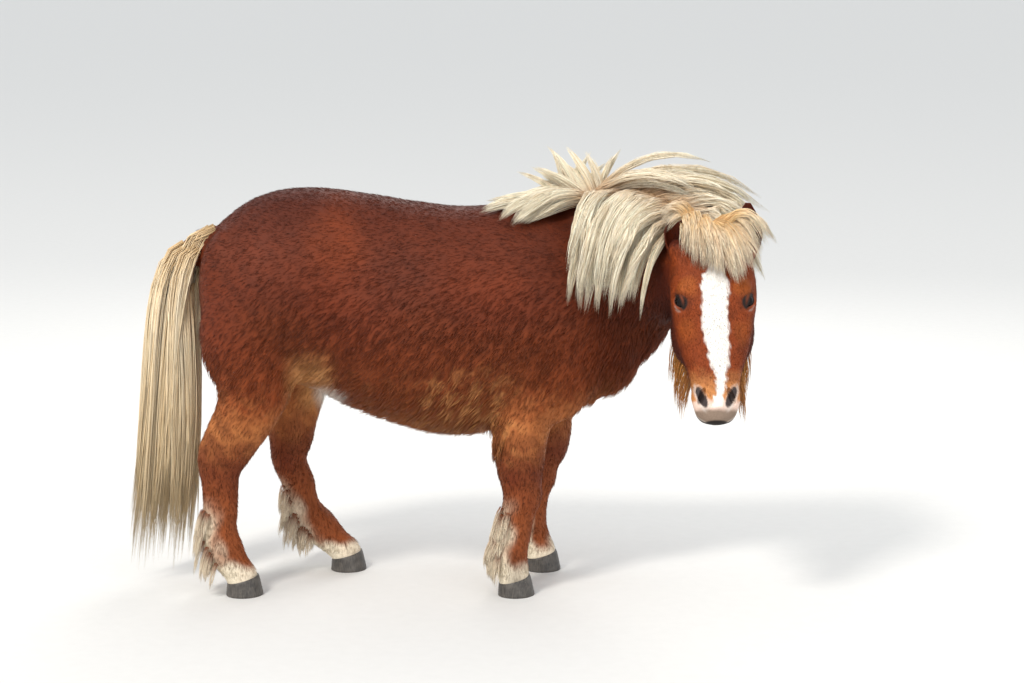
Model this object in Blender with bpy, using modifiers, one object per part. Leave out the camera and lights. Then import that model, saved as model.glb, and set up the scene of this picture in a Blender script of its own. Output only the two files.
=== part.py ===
"""A Shetland pony as a still, life-size model. It stands square on four hooves, its head turned to its right.

Metres, +Z up. The pony's body points along +X and its left side is +Y. The shapes are worked out with the body's
midline at Y = 0, and the whole model then moves so that its box is centred on the origin, on the floor.
"""

import math
import random
from dataclasses import dataclass
from itertools import combinations

import bmesh
import bpy
from mathutils import Matrix, Vector
from mathutils.bvhtree import BVHTree
from mathutils.geometry import normal

# Driving sizes
CROUP_HEIGHT = 1.000
WITHERS_HEIGHT = 0.960
BARREL_WIDTH = 0.484
STANCE_WIDTH = 0.240
HEAD_LENGTH = 0.430
HEAD_PITCH = math.radians(70.0)
HEAD_YAW = math.radians(-2.0)
HEAD_ROLL = math.radians(1.0)
POLL = Vector((0.595, -0.270, 0.888))
EYE_RADIUS = 0.0185
HOOF_HEIGHT = 0.056
FLOOR = 0.012
GAP = 0.0003
CLEARANCE = 0.0010

# The middle of the model's box on the floor, as measured from the body's midline
BOX_MIDDLE = Vector((-0.026, -0.097, FLOOR))

# Fineness of the solids
RING_SIDES = 20
FLESH_VOXEL = 0.008
FLESH_SMOOTHING = 14
BODY_TRIANGLES, HEAD_TRIANGLES = 2700, 1100

UP = Vector((0.0, 0.0, 1.0))
FORWARD = Vector((1.0, 0.0, 0.0))
LEFT, RIGHT = 1.0, -1.0
SIDE_NAMES = {LEFT: "left", RIGHT: "right"}


@dataclass
class Station:
    """One cross-section of a limb or body: where it is, and how far it reaches each way."""

    at: Vector
    front: float
    back: float
    side: float
    taper: float = 0.0


def clear_scene():
    """Remove whatever the file holds."""
    for obj in list(bpy.data.objects):
        bpy.data.objects.remove(obj, do_unlink=True)


def new_collection(name, shown):
    """A collection in the scene. Helpers go in one that isn't shown."""
    collection = bpy.data.collections.new(name)
    collection.hide_render = not shown
    bpy.context.scene.collection.children.link(collection)
    return collection


def new_object(name, mesh, collection):
    """An object of that mesh in that collection."""
    obj = bpy.data.objects.new(name, mesh)
    collection.objects.link(obj)
    return obj


def mesh_of(name, bm):
    """Write a bmesh to a new mesh and free it."""
    mesh = bpy.data.meshes.new(name)
    bm.to_mesh(mesh)
    bm.free()
    return mesh


def settled(obj):
    """Apply an object's modifiers, so that its own mesh is the finished one."""
    graph = bpy.context.evaluated_depsgraph_get()
    mesh = bpy.data.meshes.new_from_object(obj.evaluated_get(graph))
    obj.modifiers.clear()
    old = obj.data
    obj.data = mesh
    bpy.data.meshes.remove(old)
    return obj


def removed(objects):
    """Remove helper objects."""
    for obj in list(objects):
        bpy.data.objects.remove(obj, do_unlink=True)


def between(a, b, c, d, t):
    """A smooth value between b and c, where a and d are their neighbours."""
    return 0.5 * (2 * b + (c - a) * t + (2 * a - 5 * b + 4 * c - d) * t * t + (3 * b - a - 3 * c + d) * t**3)


def smooth_stations(stations, steps):
    """Fill in cross-sections between the named ones, along a smooth curve through them."""
    padded = [stations[0], *stations, stations[-1]]
    filled = []
    for i in range(1, len(padded) - 2):
        four = padded[i - 1 : i + 3]
        for step in range(steps):
            t = step / steps
            values = [between(*(getattr(s, name) for s in four), t) for name in ("at", "front", "back", "side", "taper")]
            filled.append(Station(*values))
    filled.append(stations[-1])
    return filled


def bridge(bm, loops):
    """Join rings of equal count into a closed tube."""
    count = len(loops[0])
    for low, high in zip(loops, loops[1:]):
        for k in range(count):
            n = (k + 1) % count
            bm.faces.new((low[k], low[n], high[n], high[k]))
    bm.faces.new(reversed(loops[0]))
    bm.faces.new(loops[-1])
    bmesh.ops.recalc_face_normals(bm, faces=bm.faces)


def loft(name, stations, facing, collection, steps=4, sides=RING_SIDES):
    """A closed body through cross-sections. Their front is turned towards the facing direction."""
    rings = smooth_stations(stations, steps)
    bm = bmesh.new()
    loops = []
    for i, ring in enumerate(rings):
        along = (rings[min(i + 1, len(rings) - 1)].at - rings[max(i - 1, 0)].at).normalized()
        front = (facing - along * facing.dot(along)).normalized()
        side = along.cross(front)
        loop = []
        for k in range(sides):
            angle = 2 * math.pi * k / sides
            reach = ring.front if math.sin(angle) > 0 else ring.back
            width = ring.side * (1 - ring.taper * math.sin(angle))
            loop.append(bm.verts.new(ring.at + front * reach * math.sin(angle) + side * width * math.cos(angle)))
        loops.append(loop)
    bridge(bm, loops)
    return new_object(name, mesh_of(name, bm), collection)


def ellipsoid(name, centre, radii, collection, turn=None, segments=20):
    """A stretched sphere, for a muscle, a swelling or an eye."""
    bm = bmesh.new()
    bmesh.ops.create_uvsphere(bm, u_segments=segments, v_segments=segments // 2, radius=1.0)
    matrix = Matrix.Translation(centre) @ (turn or Matrix.Identity(4)) @ Matrix.Diagonal((*radii, 1.0))
    bmesh.ops.transform(bm, matrix=matrix, verts=bm.verts)
    bmesh.ops.recalc_face_normals(bm, faces=bm.faces)
    return new_object(name, mesh_of(name, bm), collection)


class HeadFrame:
    """The head's own directions: down the face, out of the forehead, and to the pony's left."""

    def __init__(self):
        ahead = Vector((math.sin(HEAD_YAW), -math.cos(HEAD_YAW), 0.0))
        level = UP.cross(ahead)
        steep = ahead * math.cos(HEAD_PITCH) - UP * math.sin(HEAD_PITCH)
        self.down = steep * math.cos(HEAD_ROLL) + level * math.sin(HEAD_ROLL)
        self.left = level * math.cos(HEAD_ROLL) - steep * math.sin(HEAD_ROLL)
        self.out = ahead * math.sin(HEAD_PITCH) + UP * math.cos(HEAD_PITCH)

    def point(self, down, out, left=0.0):
        """A place given in the head's own directions, from the poll."""
        return POLL + self.down * down + self.out * out + self.left * left

    def turn(self):
        """A rotation that takes X to the head's left, Y out of the forehead and Z up the face."""
        rows = Matrix((self.left, self.out, -self.down)).transposed()
        return rows.to_4x4()


HEAD = HeadFrame()
EYE_PLACE = (0.150, 0.025, 0.070)
NOSTRIL_PLACE = (0.368, 0.028, 0.034)
EAR_PLACE = (0.024, 0.004, 0.078)


def torso_form(collection):
    """Barrel, rump and breast, from the croup's and withers' heights and the barrel's width."""
    half = BARREL_WIDTH / 2

    def section(x, top, widest, bottom, width, taper=0.08):
        return Station(Vector((x, 0.0, widest)), top - widest, widest - bottom, width * half, taper)

    stations = [
        section(-0.612, 0.800, 0.740, 0.665, 0.26),
        section(-0.596, 0.862, 0.740, 0.600, 0.52),
        section(-0.552, 0.928, 0.740, 0.535, 0.76),
        section(-0.470, CROUP_HEIGHT - 0.016, 0.735, 0.500, 0.92),
        section(-0.370, CROUP_HEIGHT, 0.720, 0.500, 0.95),
        section(-0.270, CROUP_HEIGHT - 0.010, 0.690, 0.478, 0.93),
        section(-0.150, CROUP_HEIGHT - 0.032, 0.655, 0.428, 0.98),
        section(-0.030, WITHERS_HEIGHT - 0.008, 0.640, 0.392, 1.00),
        section(0.080, WITHERS_HEIGHT - 0.008, 0.645, 0.392, 0.95),
        section(0.180, WITHERS_HEIGHT, 0.660, 0.412, 0.87),
        section(0.280, WITHERS_HEIGHT - 0.020, 0.675, 0.440, 0.78),
        section(0.370, WITHERS_HEIGHT - 0.070, 0.680, 0.475, 0.67),
        section(0.430, WITHERS_HEIGHT - 0.150, 0.660, 0.515, 0.54),
        section(0.466, WITHERS_HEIGHT - 0.240, 0.630, 0.560, 0.30),
    ]
    forms = [
        loft("torso_form", stations, UP, collection),
        ellipsoid("breast", Vector((0.338, 0.0, 0.600)), (0.122, 0.135, 0.128), collection),
    ]
    for side in (LEFT, RIGHT):
        forms += [
            ellipsoid("shoulder_muscle", Vector((0.235, side * 0.118, 0.63)), (0.135, 0.078, 0.21), collection),
            ellipsoid("breast_muscle", Vector((0.378, side * 0.056, 0.598)), (0.080, 0.062, 0.080), collection),
            ellipsoid("thigh_muscle", Vector((-0.482, side * 0.125, 0.65)), (0.124, 0.092, 0.19), collection),
            ellipsoid("rump_muscle", Vector((-0.538, side * 0.092, 0.76)), (0.070, 0.088, 0.15), collection),
        ]
    return forms


def neck_form(collection):
    """The neck bends to the pony's right, with its crest a little above the withers."""
    stations = [
        Station(Vector((0.150, 0.000, 0.690)), 0.250, 0.210, 0.130, 0.25),
        Station(Vector((0.270, -0.005, 0.725)), 0.242, 0.235, 0.132, 0.25),
        Station(Vector((0.370, -0.035, 0.775)), 0.203, 0.225, 0.122, 0.25),
        Station(Vector((0.460, -0.095, 0.815)), 0.160, 0.180, 0.106, 0.22),
        Station(Vector((0.528, -0.165, 0.822)), 0.124, 0.145, 0.094, 0.18),
        Station(Vector((0.568, -0.235, 0.815)), 0.080, 0.115, 0.086, 0.10),
        Station(Vector((0.580, -0.285, 0.810)), 0.050, 0.085, 0.070, 0.00),
    ]
    return [loft("neck_form", stations, UP, collection)]


def head_form(collection):
    """Skull, cheeks, muzzle and chin."""

    def section(down, out, back, width, taper):
        return Station(HEAD.point(down, 0.0), out, back, width, taper)

    stations = [
        section(-0.006, 0.004, 0.060, 0.048, 0.0),
        section(0.018, 0.032, 0.100, 0.074, 0.0),
        section(0.056, 0.053, 0.125, 0.093, 0.0),
        section(0.105, 0.064, 0.140, 0.102, 0.05),
        section(0.160, 0.062, 0.148, 0.098, 0.12),
        section(0.210, 0.054, 0.145, 0.090, 0.22),
        section(0.255, 0.047, 0.118, 0.079, 0.25),
        section(0.300, 0.041, 0.088, 0.066, 0.20),
        section(0.340, 0.038, 0.072, 0.056, 0.12),
        section(0.375, 0.036, 0.064, 0.053, 0.05),
        section(0.405, 0.028, 0.056, 0.048, 0.0),
        section(HEAD_LENGTH - 0.006, 0.006, 0.034, 0.034, 0.0),
    ]
    forms = [loft("head_form", stations, HEAD.out, collection)]
    turn = HEAD.turn()
    forms.append(ellipsoid("chin", HEAD.point(0.398, -0.048), (0.028, 0.026, 0.026), collection, turn))
    forms.append(ellipsoid("upper_lip", HEAD.point(0.410, 0.004), (0.034, 0.026, 0.022), collection, turn))
    for side in (LEFT, RIGHT):
        cheek = HEAD.point(0.195, -0.075, side * 0.060)
        brow = HEAD.point(0.124, 0.036, side * 0.064)
        nostril = HEAD.point(0.366, 0.008, side * 0.036)
        forms += [
            ellipsoid("cheek", cheek, (0.038, 0.072, 0.080), collection, turn),
            ellipsoid("brow", brow, (0.024, 0.020, 0.026), collection, turn),
            ellipsoid("orbit", eye_centre(side), (0.031, 0.035, 0.0155), collection, eye_turn(side)),
            ellipsoid("ear_root", ear_base(side), (0.027, 0.026, 0.030), collection, turn),
            ellipsoid("nostril_swelling", nostril, (0.022, 0.026, 0.034), collection, turn),
        ]
    return forms


@dataclass
class LegPlan:
    """How one leg stands: the fore-and-aft place of its joints, and which leg it is."""

    name: str
    side: float
    top: tuple
    forearm: float
    knee: float
    cannon: float
    fetlock: float
    hoof: float


FORE_LEGS = [
    LegPlan("fore_leg_right", RIGHT, (0.195, 0.62), 0.158, 0.160, 0.148, 0.134, 0.140),
    LegPlan("fore_leg_left", LEFT, (0.205, 0.62), 0.222, 0.200, 0.188, 0.184, 0.208),
]
HIND_LEGS = [
    LegPlan("hind_leg_right", RIGHT, (-0.450, 0.68), -0.482, -0.552, -0.562, -0.552, -0.514),
    LegPlan("hind_leg_left", LEFT, (-0.420, 0.68), -0.400, -0.412, -0.384, -0.344, -0.280),
]
FEET_Y = STANCE_WIDTH / 2


def fore_leg_form(plan, collection):
    """Forearm, knee, cannon, fetlock and pastern."""

    def section(x, y, z, front, back, width):
        return Station(Vector((x, plan.side * y, z)), front, back, width)

    stations = [
        section(plan.top[0], 0.105, plan.top[1], 0.095, 0.105, 0.070),
        section(0.5 * (plan.top[0] + plan.forearm), 0.122, 0.500, 0.085, 0.088, 0.068),
        section(plan.forearm + 0.004, 0.130, 0.410, 0.073, 0.078, 0.064),
        section(plan.forearm, 0.128, 0.330, 0.064, 0.068, 0.056),
        section(plan.knee, 0.122, 0.285, 0.055, 0.056, 0.050),
        section(plan.knee, FEET_Y, 0.250, 0.054, 0.050, 0.051),
        section(plan.knee - 0.008, FEET_Y, 0.212, 0.044, 0.045, 0.042),
        section(plan.cannon, FEET_Y, 0.165, 0.039, 0.044, 0.038),
        section(plan.fetlock, FEET_Y, 0.120, 0.043, 0.048, 0.044),
        section(0.5 * (plan.fetlock + plan.hoof), FEET_Y, 0.085, 0.041, 0.040, 0.041),
        section(plan.hoof, FEET_Y, 0.055, 0.041, 0.040, 0.042),
        section(plan.hoof + 0.004, FEET_Y, 0.024, 0.038, 0.036, 0.038),
    ]
    return [loft(plan.name + "_form", stations, FORWARD, collection)]


def hind_leg_form(plan, collection):
    """Thigh, gaskin, hock, cannon, fetlock and pastern."""

    def section(x, y, z, front, back, width):
        return Station(Vector((x, plan.side * y, z)), front, back, width)

    gaskin = 0.45 * plan.forearm + 0.55 * plan.knee
    stations = [
        section(plan.top[0], 0.115, plan.top[1], 0.130, 0.140, 0.080),
        section(0.5 * (plan.top[0] + plan.forearm), 0.130, 0.570, 0.112, 0.120, 0.084),
        section(plan.forearm, 0.132, 0.480, 0.088, 0.094, 0.072),
        section(gaskin, 0.128, 0.400, 0.070, 0.080, 0.060),
        section(plan.knee, 0.123, 0.340, 0.060, 0.068, 0.051),
        section(plan.knee - 0.006, FEET_Y, 0.295, 0.048, 0.052, 0.046),
        section(0.6 * plan.cannon + 0.4 * plan.knee, FEET_Y, 0.235, 0.044, 0.047, 0.040),
        section(plan.cannon, FEET_Y, 0.175, 0.042, 0.046, 0.039),
        section(plan.fetlock, FEET_Y, 0.122, 0.046, 0.048, 0.045),
        section(0.45 * plan.fetlock + 0.55 * plan.hoof, FEET_Y, 0.082, 0.040, 0.039, 0.040),
        section(plan.hoof, FEET_Y, 0.055, 0.041, 0.040, 0.041),
        section(plan.hoof + 0.004, FEET_Y, 0.024, 0.038, 0.036, 0.038),
    ]
    return [loft(plan.name + "_form", stations, FORWARD, collection)]


DOCK_PATH = [
    Vector((-0.545, 0.0, 0.862)),
    Vector((-0.608, 0.0, 0.850)),
    Vector((-0.656, 0.0, 0.804)),
    Vector((-0.677, 0.0, 0.735)),
    Vector((-0.683, 0.0, 0.660)),
    Vector((-0.684, 0.0, 0.590)),
]
DOCK_RADII = [0.040, 0.036, 0.032, 0.029, 0.024, 0.014]


def dock_form(collection):
    """The fleshy root of the tail, which the tail hair grows from."""
    stations = [Station(at, r, r, r * 1.1) for at, r in zip(DOCK_PATH, DOCK_RADII)]
    return [loft("dock_form", stations, Vector((-1.0, 0.0, 0.3)), collection)]


def joined(objects, name):
    """One object that holds the meshes of several, which may overlap."""
    bm = bmesh.new()
    for obj in objects:
        bm.from_mesh(obj.data)
    collection = objects[0].users_collection[0]
    made = new_object(name, mesh_of(name, bm), collection)
    removed(objects)
    return made


def flesh(collection):
    """The whole pony without ears, eyes, hooves and hair, as one closed body."""
    forms = torso_form(collection) + neck_form(collection) + head_form(collection) + dock_form(collection)
    for plan in FORE_LEGS:
        forms += fore_leg_form(plan, collection)
    for plan in HIND_LEGS:
        forms += hind_leg_form(plan, collection)
    body = joined(forms, "flesh")
    remesh = body.modifiers.new("skin", "REMESH")
    remesh.mode = "VOXEL"
    remesh.voxel_size = FLESH_VOXEL
    smooth = body.modifiers.new("smooth", "SMOOTH")
    smooth.factor = 0.6
    smooth.iterations = FLESH_SMOOTHING
    settled(body)
    thinned(body, lambda co: not in_head(co), BODY_TRIANGLES)
    thinned(body, in_head, HEAD_TRIANGLES)
    return body


def in_head(co):
    """Whether a place on the body is in front of the cut between neck and head."""
    return (co - THROAT).dot(HEAD_SIDE) > 0 and co.y < -0.15


def thinned(obj, chosen, triangles):
    """Thin out the chosen places of a mesh to about that many triangles and leave the rest as it is."""
    bm = bmesh.new()
    bm.from_mesh(obj.data)
    bmesh.ops.triangulate(bm, faces=bm.faces)
    bm.to_mesh(obj.data)
    bm.free()
    group = obj.vertex_groups.new(name="thin")
    inside = {v.index for v in obj.data.vertices if chosen(v.co)}
    group.add(sorted(inside), 1.0, "REPLACE")
    faces = sum(1 for p in obj.data.polygons if inside.issuperset(p.vertices))
    thin = obj.modifiers.new("thin", "DECIMATE")
    thin.ratio = (len(obj.data.polygons) - faces + triangles) / len(obj.data.polygons)
    thin.vertex_group = group.name
    settled(obj)
    obj.vertex_groups.clear()


def ear_base(side):
    """Where an ear's middle line meets the skull."""
    down, out, left = EAR_PLACE
    return HEAD.point(down, out, side * left)


@dataclass
class EarPlan:
    """How one ear is carried: how far it leans out and forward, and which way it opens."""

    side: float
    lean_out: float
    lean_forward: float
    opening: float

    def axis(self):
        """From the ear's root to its tip."""
        lean = HEAD.left * self.side * self.lean_out + HEAD.out * self.lean_forward
        return (lean - HEAD.down).normalized()

    def faces(self):
        """The direction in which the ear opens, square to its axis."""
        towards = HEAD.out * math.cos(self.opening) + HEAD.left * self.side * math.sin(self.opening)
        axis = self.axis()
        return (towards - axis * towards.dot(axis)).normalized()


EARS = [
    EarPlan(RIGHT, -0.06, 0.26, math.radians(30)),
    EarPlan(LEFT, 0.06, 0.22, math.radians(30)),
]
EAR_LENGTH = 0.112
EAR_HALF_WIDTH = 0.031
EAR_WALL = 0.006
EAR_CUT_HEIGHT = 0.033
EAR_CUT_RADIUS = 0.035
EAR_CUT_AHEAD = 0.008


def ear_form(plan, collection, rows=7, columns=8):
    """A curled leaf with a wall of even thickness, open to one side and closed at the tip."""
    axis, faces = plan.axis(), plan.faces()
    across = axis.cross(faces)
    base = ear_base(plan.side) - axis * 0.004
    bm = bmesh.new()
    layers = []
    for wall in (0.0, EAR_WALL):
        grid = []
        for row in range(rows + 1):
            up = row / rows
            half = EAR_HALF_WIDTH * (math.sin(math.pi * (0.20 + 0.78 * up)) ** 0.7) + 0.0015
            curl = math.radians(125 - 62 * up)
            radius = half / math.sin(min(curl, math.pi / 2)) - wall * (1 - 0.6 * up)
            centre = base + axis * (EAR_LENGTH * up) + faces * (0.010 * math.sin(math.pi * up))
            grid.append([])
            for column in range(columns + 1):
                angle = curl * (2 * column / columns - 1)
                spread = across * math.sin(angle) - faces * math.cos(angle)
                grid[-1].append(bm.verts.new(centre + spread * max(radius, 0.0006)))
        layers.append(grid)
    outer, inner = layers
    for row in range(rows):
        for column in range(columns):
            for grid in layers:
                bm.faces.new((grid[row][column], grid[row][column + 1], grid[row + 1][column + 1], grid[row + 1][column]))
        for column in (0, columns):
            bm.faces.new((outer[row][column], inner[row][column], inner[row + 1][column], outer[row + 1][column]))
    for row in (0, rows):
        for column in range(columns):
            bm.faces.new((outer[row][column], outer[row][column + 1], inner[row][column + 1], inner[row][column]))
    bmesh.ops.recalc_face_normals(bm, faces=bm.faces)
    return new_object("ear_form", mesh_of("ear_form", bm), collection)


def eye_centre(side):
    """The middle of an eyeball."""
    down, out, left = EYE_PLACE
    return HEAD.point(down, out, side * left)


def eye_axes(side):
    """The way an eye looks, the line from its outer to its inner corner, and its up direction."""
    look = (HEAD.left * side * 0.76 + HEAD.out * 0.65).normalized()
    slit = HEAD.down * 0.84 - HEAD.left * side * 0.30 + HEAD.out * 0.34
    slit = (slit - look * slit.dot(look)).normalized()
    rise = look.cross(slit)
    if rise.dot(HEAD.out) < 0:
        rise = -rise
    return look, slit, rise


def eye_turn(side):
    """A rotation that takes Z to the way an eye looks and Y along its slit."""
    look, slit, rise = eye_axes(side)
    return Matrix((rise, slit, look)).transposed().to_4x4()


def lid_form(side, lift, girth, collection, steps=7, sides=5):
    """One eyelid: a tapered roll over the eyeball, from corner to corner."""
    look, slit, rise = eye_axes(side)
    centre = eye_centre(side)
    stations = []
    for i in range(steps + 1):
        turn = math.radians(82) * (2 * i / steps - 1)
        height = lift * math.cos(turn) ** 0.8
        towards = look * math.cos(turn) * math.cos(height) + rise * math.cos(turn) * math.sin(height) + slit * math.sin(turn)
        size = girth * (0.45 + 0.55 * math.cos(turn))
        stations.append((centre + towards * (EYE_RADIUS + 0.0008), towards, size))
    bm = bmesh.new()
    loops = []
    for i, (at, towards, size) in enumerate(stations):
        along = (stations[min(i + 1, steps)][0] - stations[max(i - 1, 0)][0]).normalized()
        across = along.cross(towards)
        angles = [2 * math.pi * k / sides for k in range(sides)]
        loops.append([bm.verts.new(at + (towards * math.sin(a) + across * math.cos(a)) * size) for a in angles])
    bridge(bm, loops)
    return new_object("lid_form", mesh_of("lid_form", bm), collection)


def socket_form(side, collection):
    """The hollow that an eyeball sits in, with the gap round it."""
    radius = EYE_RADIUS + GAP
    return ellipsoid("socket_form", eye_centre(side), (radius, radius, radius), collection, segments=14)


def nostril_form(side, collection):
    """A comma-shaped hollow that slants up and out."""
    down, out, left = NOSTRIL_PLACE
    slant = Matrix.Rotation(side * math.radians(28), 4, "Y")
    turn = HEAD.turn() @ slant
    return ellipsoid("nostril_form", HEAD.point(down, out, side * left), (0.0085, 0.020, 0.015), collection, turn, 12)


def mouth_form(collection):
    """The mouth line: a thin cut round the muzzle between the lips, open at the front and both sides."""
    corner, front, reach, depth, thin = (0.338, -0.043), (0.440, -0.016), 0.075, 0.030, 0.0016
    start = HEAD.point(*corner)
    along = (HEAD.point(*front) - start).normalized()
    across = HEAD.left
    up = along.cross(across)
    end = 0.14
    outline = [(0, reach), (0, depth), (0.062, depth), (0.076, 0.014), (0.076, -0.014), (0.062, -depth)]
    outline += [(0, -depth), (0, -reach), (end, -reach), (end, reach)]
    bm = bmesh.new()
    rims = []
    for lift in (-thin / 2, thin / 2):
        rims.append([bm.verts.new(start + along * a + across * b + up * lift) for a, b in outline])
    bridge(bm, rims)
    return new_object("mouth_form", mesh_of("mouth_form", bm), collection)


@dataclass
class Cut:
    """A flat cut through one limb, as thick as the gap between nodes."""

    at: Vector
    normal: Vector
    radius: float


HEAD_SIDE = Vector((0.25, -0.93, -0.20)).normalized()
THROAT = HEAD.point(0.065, -0.0975) - HEAD_SIDE * 0.008
ELBOW_HEIGHT, KNEE_HEIGHT, STIFLE_HEIGHT, HOCK_HEIGHT = 0.420, 0.255, 0.530, 0.325
CORONET_SLOPE = Vector((-0.26, 0.0, 0.966)).normalized()


def coronet(plan):
    """The slanting plane between a pastern and its hoof."""
    return Cut(Vector((plan.hoof, plan.side * FEET_Y, HOOF_HEIGHT - 0.006)), CORONET_SLOPE, 0.065)


def cuts():
    """Every flat cut that parts the body into its nodes."""
    made = [
        Cut(Vector((0.310, -0.010, 0.770)), Vector((0.86, -0.08, 0.49)), 0.31),
        Cut(THROAT, HEAD_SIDE, 0.165),
        Cut(Vector((-0.6265, 0.0, 0.830)), Vector((-1.0, 0.0, -0.04)), 0.066),
    ]
    for ear in EARS:
        middle = ear_base(ear.side) + ear.axis() * EAR_CUT_HEIGHT + ear.faces() * EAR_CUT_AHEAD
        made.append(Cut(middle, ear.axis(), EAR_CUT_RADIUS))
    for plan in FORE_LEGS:
        elbow_x = 0.35 * plan.top[0] + 0.65 * plan.forearm
        made.append(Cut(Vector((elbow_x, plan.side * 0.130, ELBOW_HEIGHT)), Vector((0.0, -0.47 * plan.side, 0.88)), 0.112))
        made.append(Cut(Vector((plan.knee, plan.side * FEET_Y, KNEE_HEIGHT)), UP, 0.078))
        made.append(coronet(plan))
    for plan in HIND_LEGS:
        stifle_x = 0.5 * (plan.top[0] + plan.forearm) - 0.030
        slope = Vector((0.220, -0.441 * plan.side, 0.870))
        made.append(Cut(Vector((stifle_x, plan.side * 0.125, STIFLE_HEIGHT)), slope, 0.162))
        made.append(Cut(Vector((plan.knee, plan.side * 0.122, HOCK_HEIGHT)), UP, 0.090))
        made.append(coronet(plan))
    return made


def cut_form(cut, collection):
    """A round plate for one cut."""
    bm = bmesh.new()
    bmesh.ops.create_cone(bm, cap_ends=True, segments=24, radius1=cut.radius, radius2=cut.radius, depth=GAP)
    turn = UP.rotation_difference(cut.normal.normalized()).to_matrix().to_4x4()
    bmesh.ops.transform(bm, matrix=Matrix.Translation(cut.at) @ turn, verts=bm.verts)
    return new_object("cut_form", mesh_of("cut_form", bm), collection)


def combined(obj, collection, operation, solver="EXACT"):
    """Join a collection of closed forms to an object, or take them out of it, and remove them."""
    boolean = obj.modifiers.new(operation.lower(), "BOOLEAN")
    boolean.operation = operation
    boolean.solver = solver
    boolean.operand_type = "COLLECTION"
    boolean.collection = collection
    boolean.use_self = True
    settled(obj)
    removed(collection.objects)


def cleaned(bm):
    """Merge the tiny edges that a Boolean leaves, and turn every face into triangles."""
    bmesh.ops.remove_doubles(bm, verts=bm.verts, dist=0.00004)
    bmesh.ops.dissolve_degenerate(bm, dist=0.00002, edges=bm.edges)
    bmesh.ops.triangulate(bm, faces=bm.faces)
    drop_flaps(bm)
    for edge in crowded(bm):
        if edge.is_valid:
            turned(bm, edge)
    for edge in crowded(bm):
        if edge.is_valid:
            bmesh.ops.pointmerge(bm, verts=list(edge.verts), merge_co=edge.verts[0].co)
    drop_flaps(bm)
    for vert in [vert for vert in bm.verts if len(fans(vert)) > 1]:
        pulled_apart(bm, vert)


def crowded(bm):
    """The edges that more than two faces share."""
    return [edge for edge in bm.edges if len(edge.link_faces) > 2]


def drop_flaps(bm):
    """Remove faces that lie back to back on the same three corners."""
    same_corners = {}
    for face in bm.faces:
        same_corners.setdefault(frozenset(face.verts), []).append(face)
    flaps = [face for faces in same_corners.values() if len(faces) > 1 for face in faces]
    bmesh.ops.delete(bm, geom=flaps, context="FACES")


def fans(vert):
    """The faces round a vertex, as groups that are joined by edges."""
    left = set(vert.link_faces)
    groups = []
    while left:
        group, ahead = [], [left.pop()]
        while ahead:
            face = ahead.pop()
            group.append(face)
            near = {other for edge in face.edges if vert in edge.verts for other in edge.link_faces} & left
            left -= near
            ahead.extend(near)
        groups.append(group)
    return groups


def pulled_apart(bm, vert):
    """Give each group of faces that only meet at a vertex its own vertex, a little inside its surface."""
    for group in fans(vert):
        inwards = -sum((face.normal for face in group), Vector()).normalized()
        own = bm.verts.new(vert.co + inwards * 0.00004)
        for face in group:
            bm.faces.new([own if v is vert else v for v in face.verts])
        bmesh.ops.delete(bm, geom=group, context="FACES_ONLY")
    bm.verts.remove(vert)
    bm.normal_update()


def turned(bm, edge):
    """Where four faces share an edge, turn the diagonal between the two that lie flattest to each other."""
    best = None
    for one, two in combinations(edge.link_faces, 2):
        b = next(v for v in one.verts if v not in edge.verts)
        d = next(v for v in two.verts if v not in edge.verts)
        if b is d or bm.edges.get((b, d)):
            continue
        ring = list(one.verts)
        a, c = ring[ring.index(b) - 1], ring[(ring.index(b) + 1) % 3]
        made = [normal((a.co, b.co, d.co)), normal((b.co, c.co, d.co))]
        flat = min(way.dot(face.normal) for way in made for face in (one, two))
        if flat > 0.9 and (best is None or flat > best[0]):
            best = (flat, one, two, (a, b, c, d))
    if best is not None:
        _, one, two, (a, b, c, d) = best
        bmesh.ops.delete(bm, geom=[one, two], context="FACES_ONLY")
        bm.faces.new((a, b, d))
        bm.faces.new((b, c, d))
        bm.normal_update()


def loose_parts(bm):
    """The separate closed surfaces of a mesh, each as a list of faces, the largest first."""
    bm.faces.ensure_lookup_table()
    seen = set()
    parts = []
    for face in bm.faces:
        if face in seen:
            continue
        seen.add(face)
        part, ahead = [], [face]
        while ahead:
            current = ahead.pop()
            part.append(current)
            for edge in current.edges:
                for other in edge.link_faces:
                    if other not in seen:
                        seen.add(other)
                        ahead.append(other)
        parts.append(part)
    return sorted(parts, key=lambda part: -sum(f.calc_area() for f in part))


def keep_largest(obj):
    """Keep only an object's largest closed surface."""
    bm = bmesh.new()
    bm.from_mesh(obj.data)
    cleaned(bm)
    for part in loose_parts(bm)[1:]:
        bmesh.ops.delete(bm, geom=part, context="FACES")
    bmesh.ops.delete(bm, geom=[v for v in bm.verts if not v.link_faces], context="VERTS")
    bm.to_mesh(obj.data)
    bm.free()


def node_places():
    """A place near the middle of every node that the cuts leave."""
    places = {
        "torso": Vector((-0.10, 0.0, 0.70)),
        "neck": Vector((0.46, -0.10, 0.80)),
        "head": HEAD.point(0.20, -0.03),
        "tail": Vector((-0.665, 0.0, 0.73)),
    }
    for ear in EARS:
        places["ear_" + SIDE_NAMES[ear.side]] = ear_base(ear.side) + ear.axis() * 0.06
    for plans, upper, lower, high, low in (
        (FORE_LEGS, "forearm_", "fore_cannon_", 0.34, 0.15),
        (HIND_LEGS, "thigh_", "hind_cannon_", 0.43, 0.18),
    ):
        for plan in plans:
            side = SIDE_NAMES[plan.side]
            places[upper + side] = Vector((0.5 * (plan.forearm + plan.knee), plan.side * FEET_Y, high))
            places[lower + side] = Vector((plan.cannon, plan.side * FEET_Y, low))
            places["stub_" + plan.name] = Vector((plan.hoof, plan.side * FEET_Y, 0.03))
    return places


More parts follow.
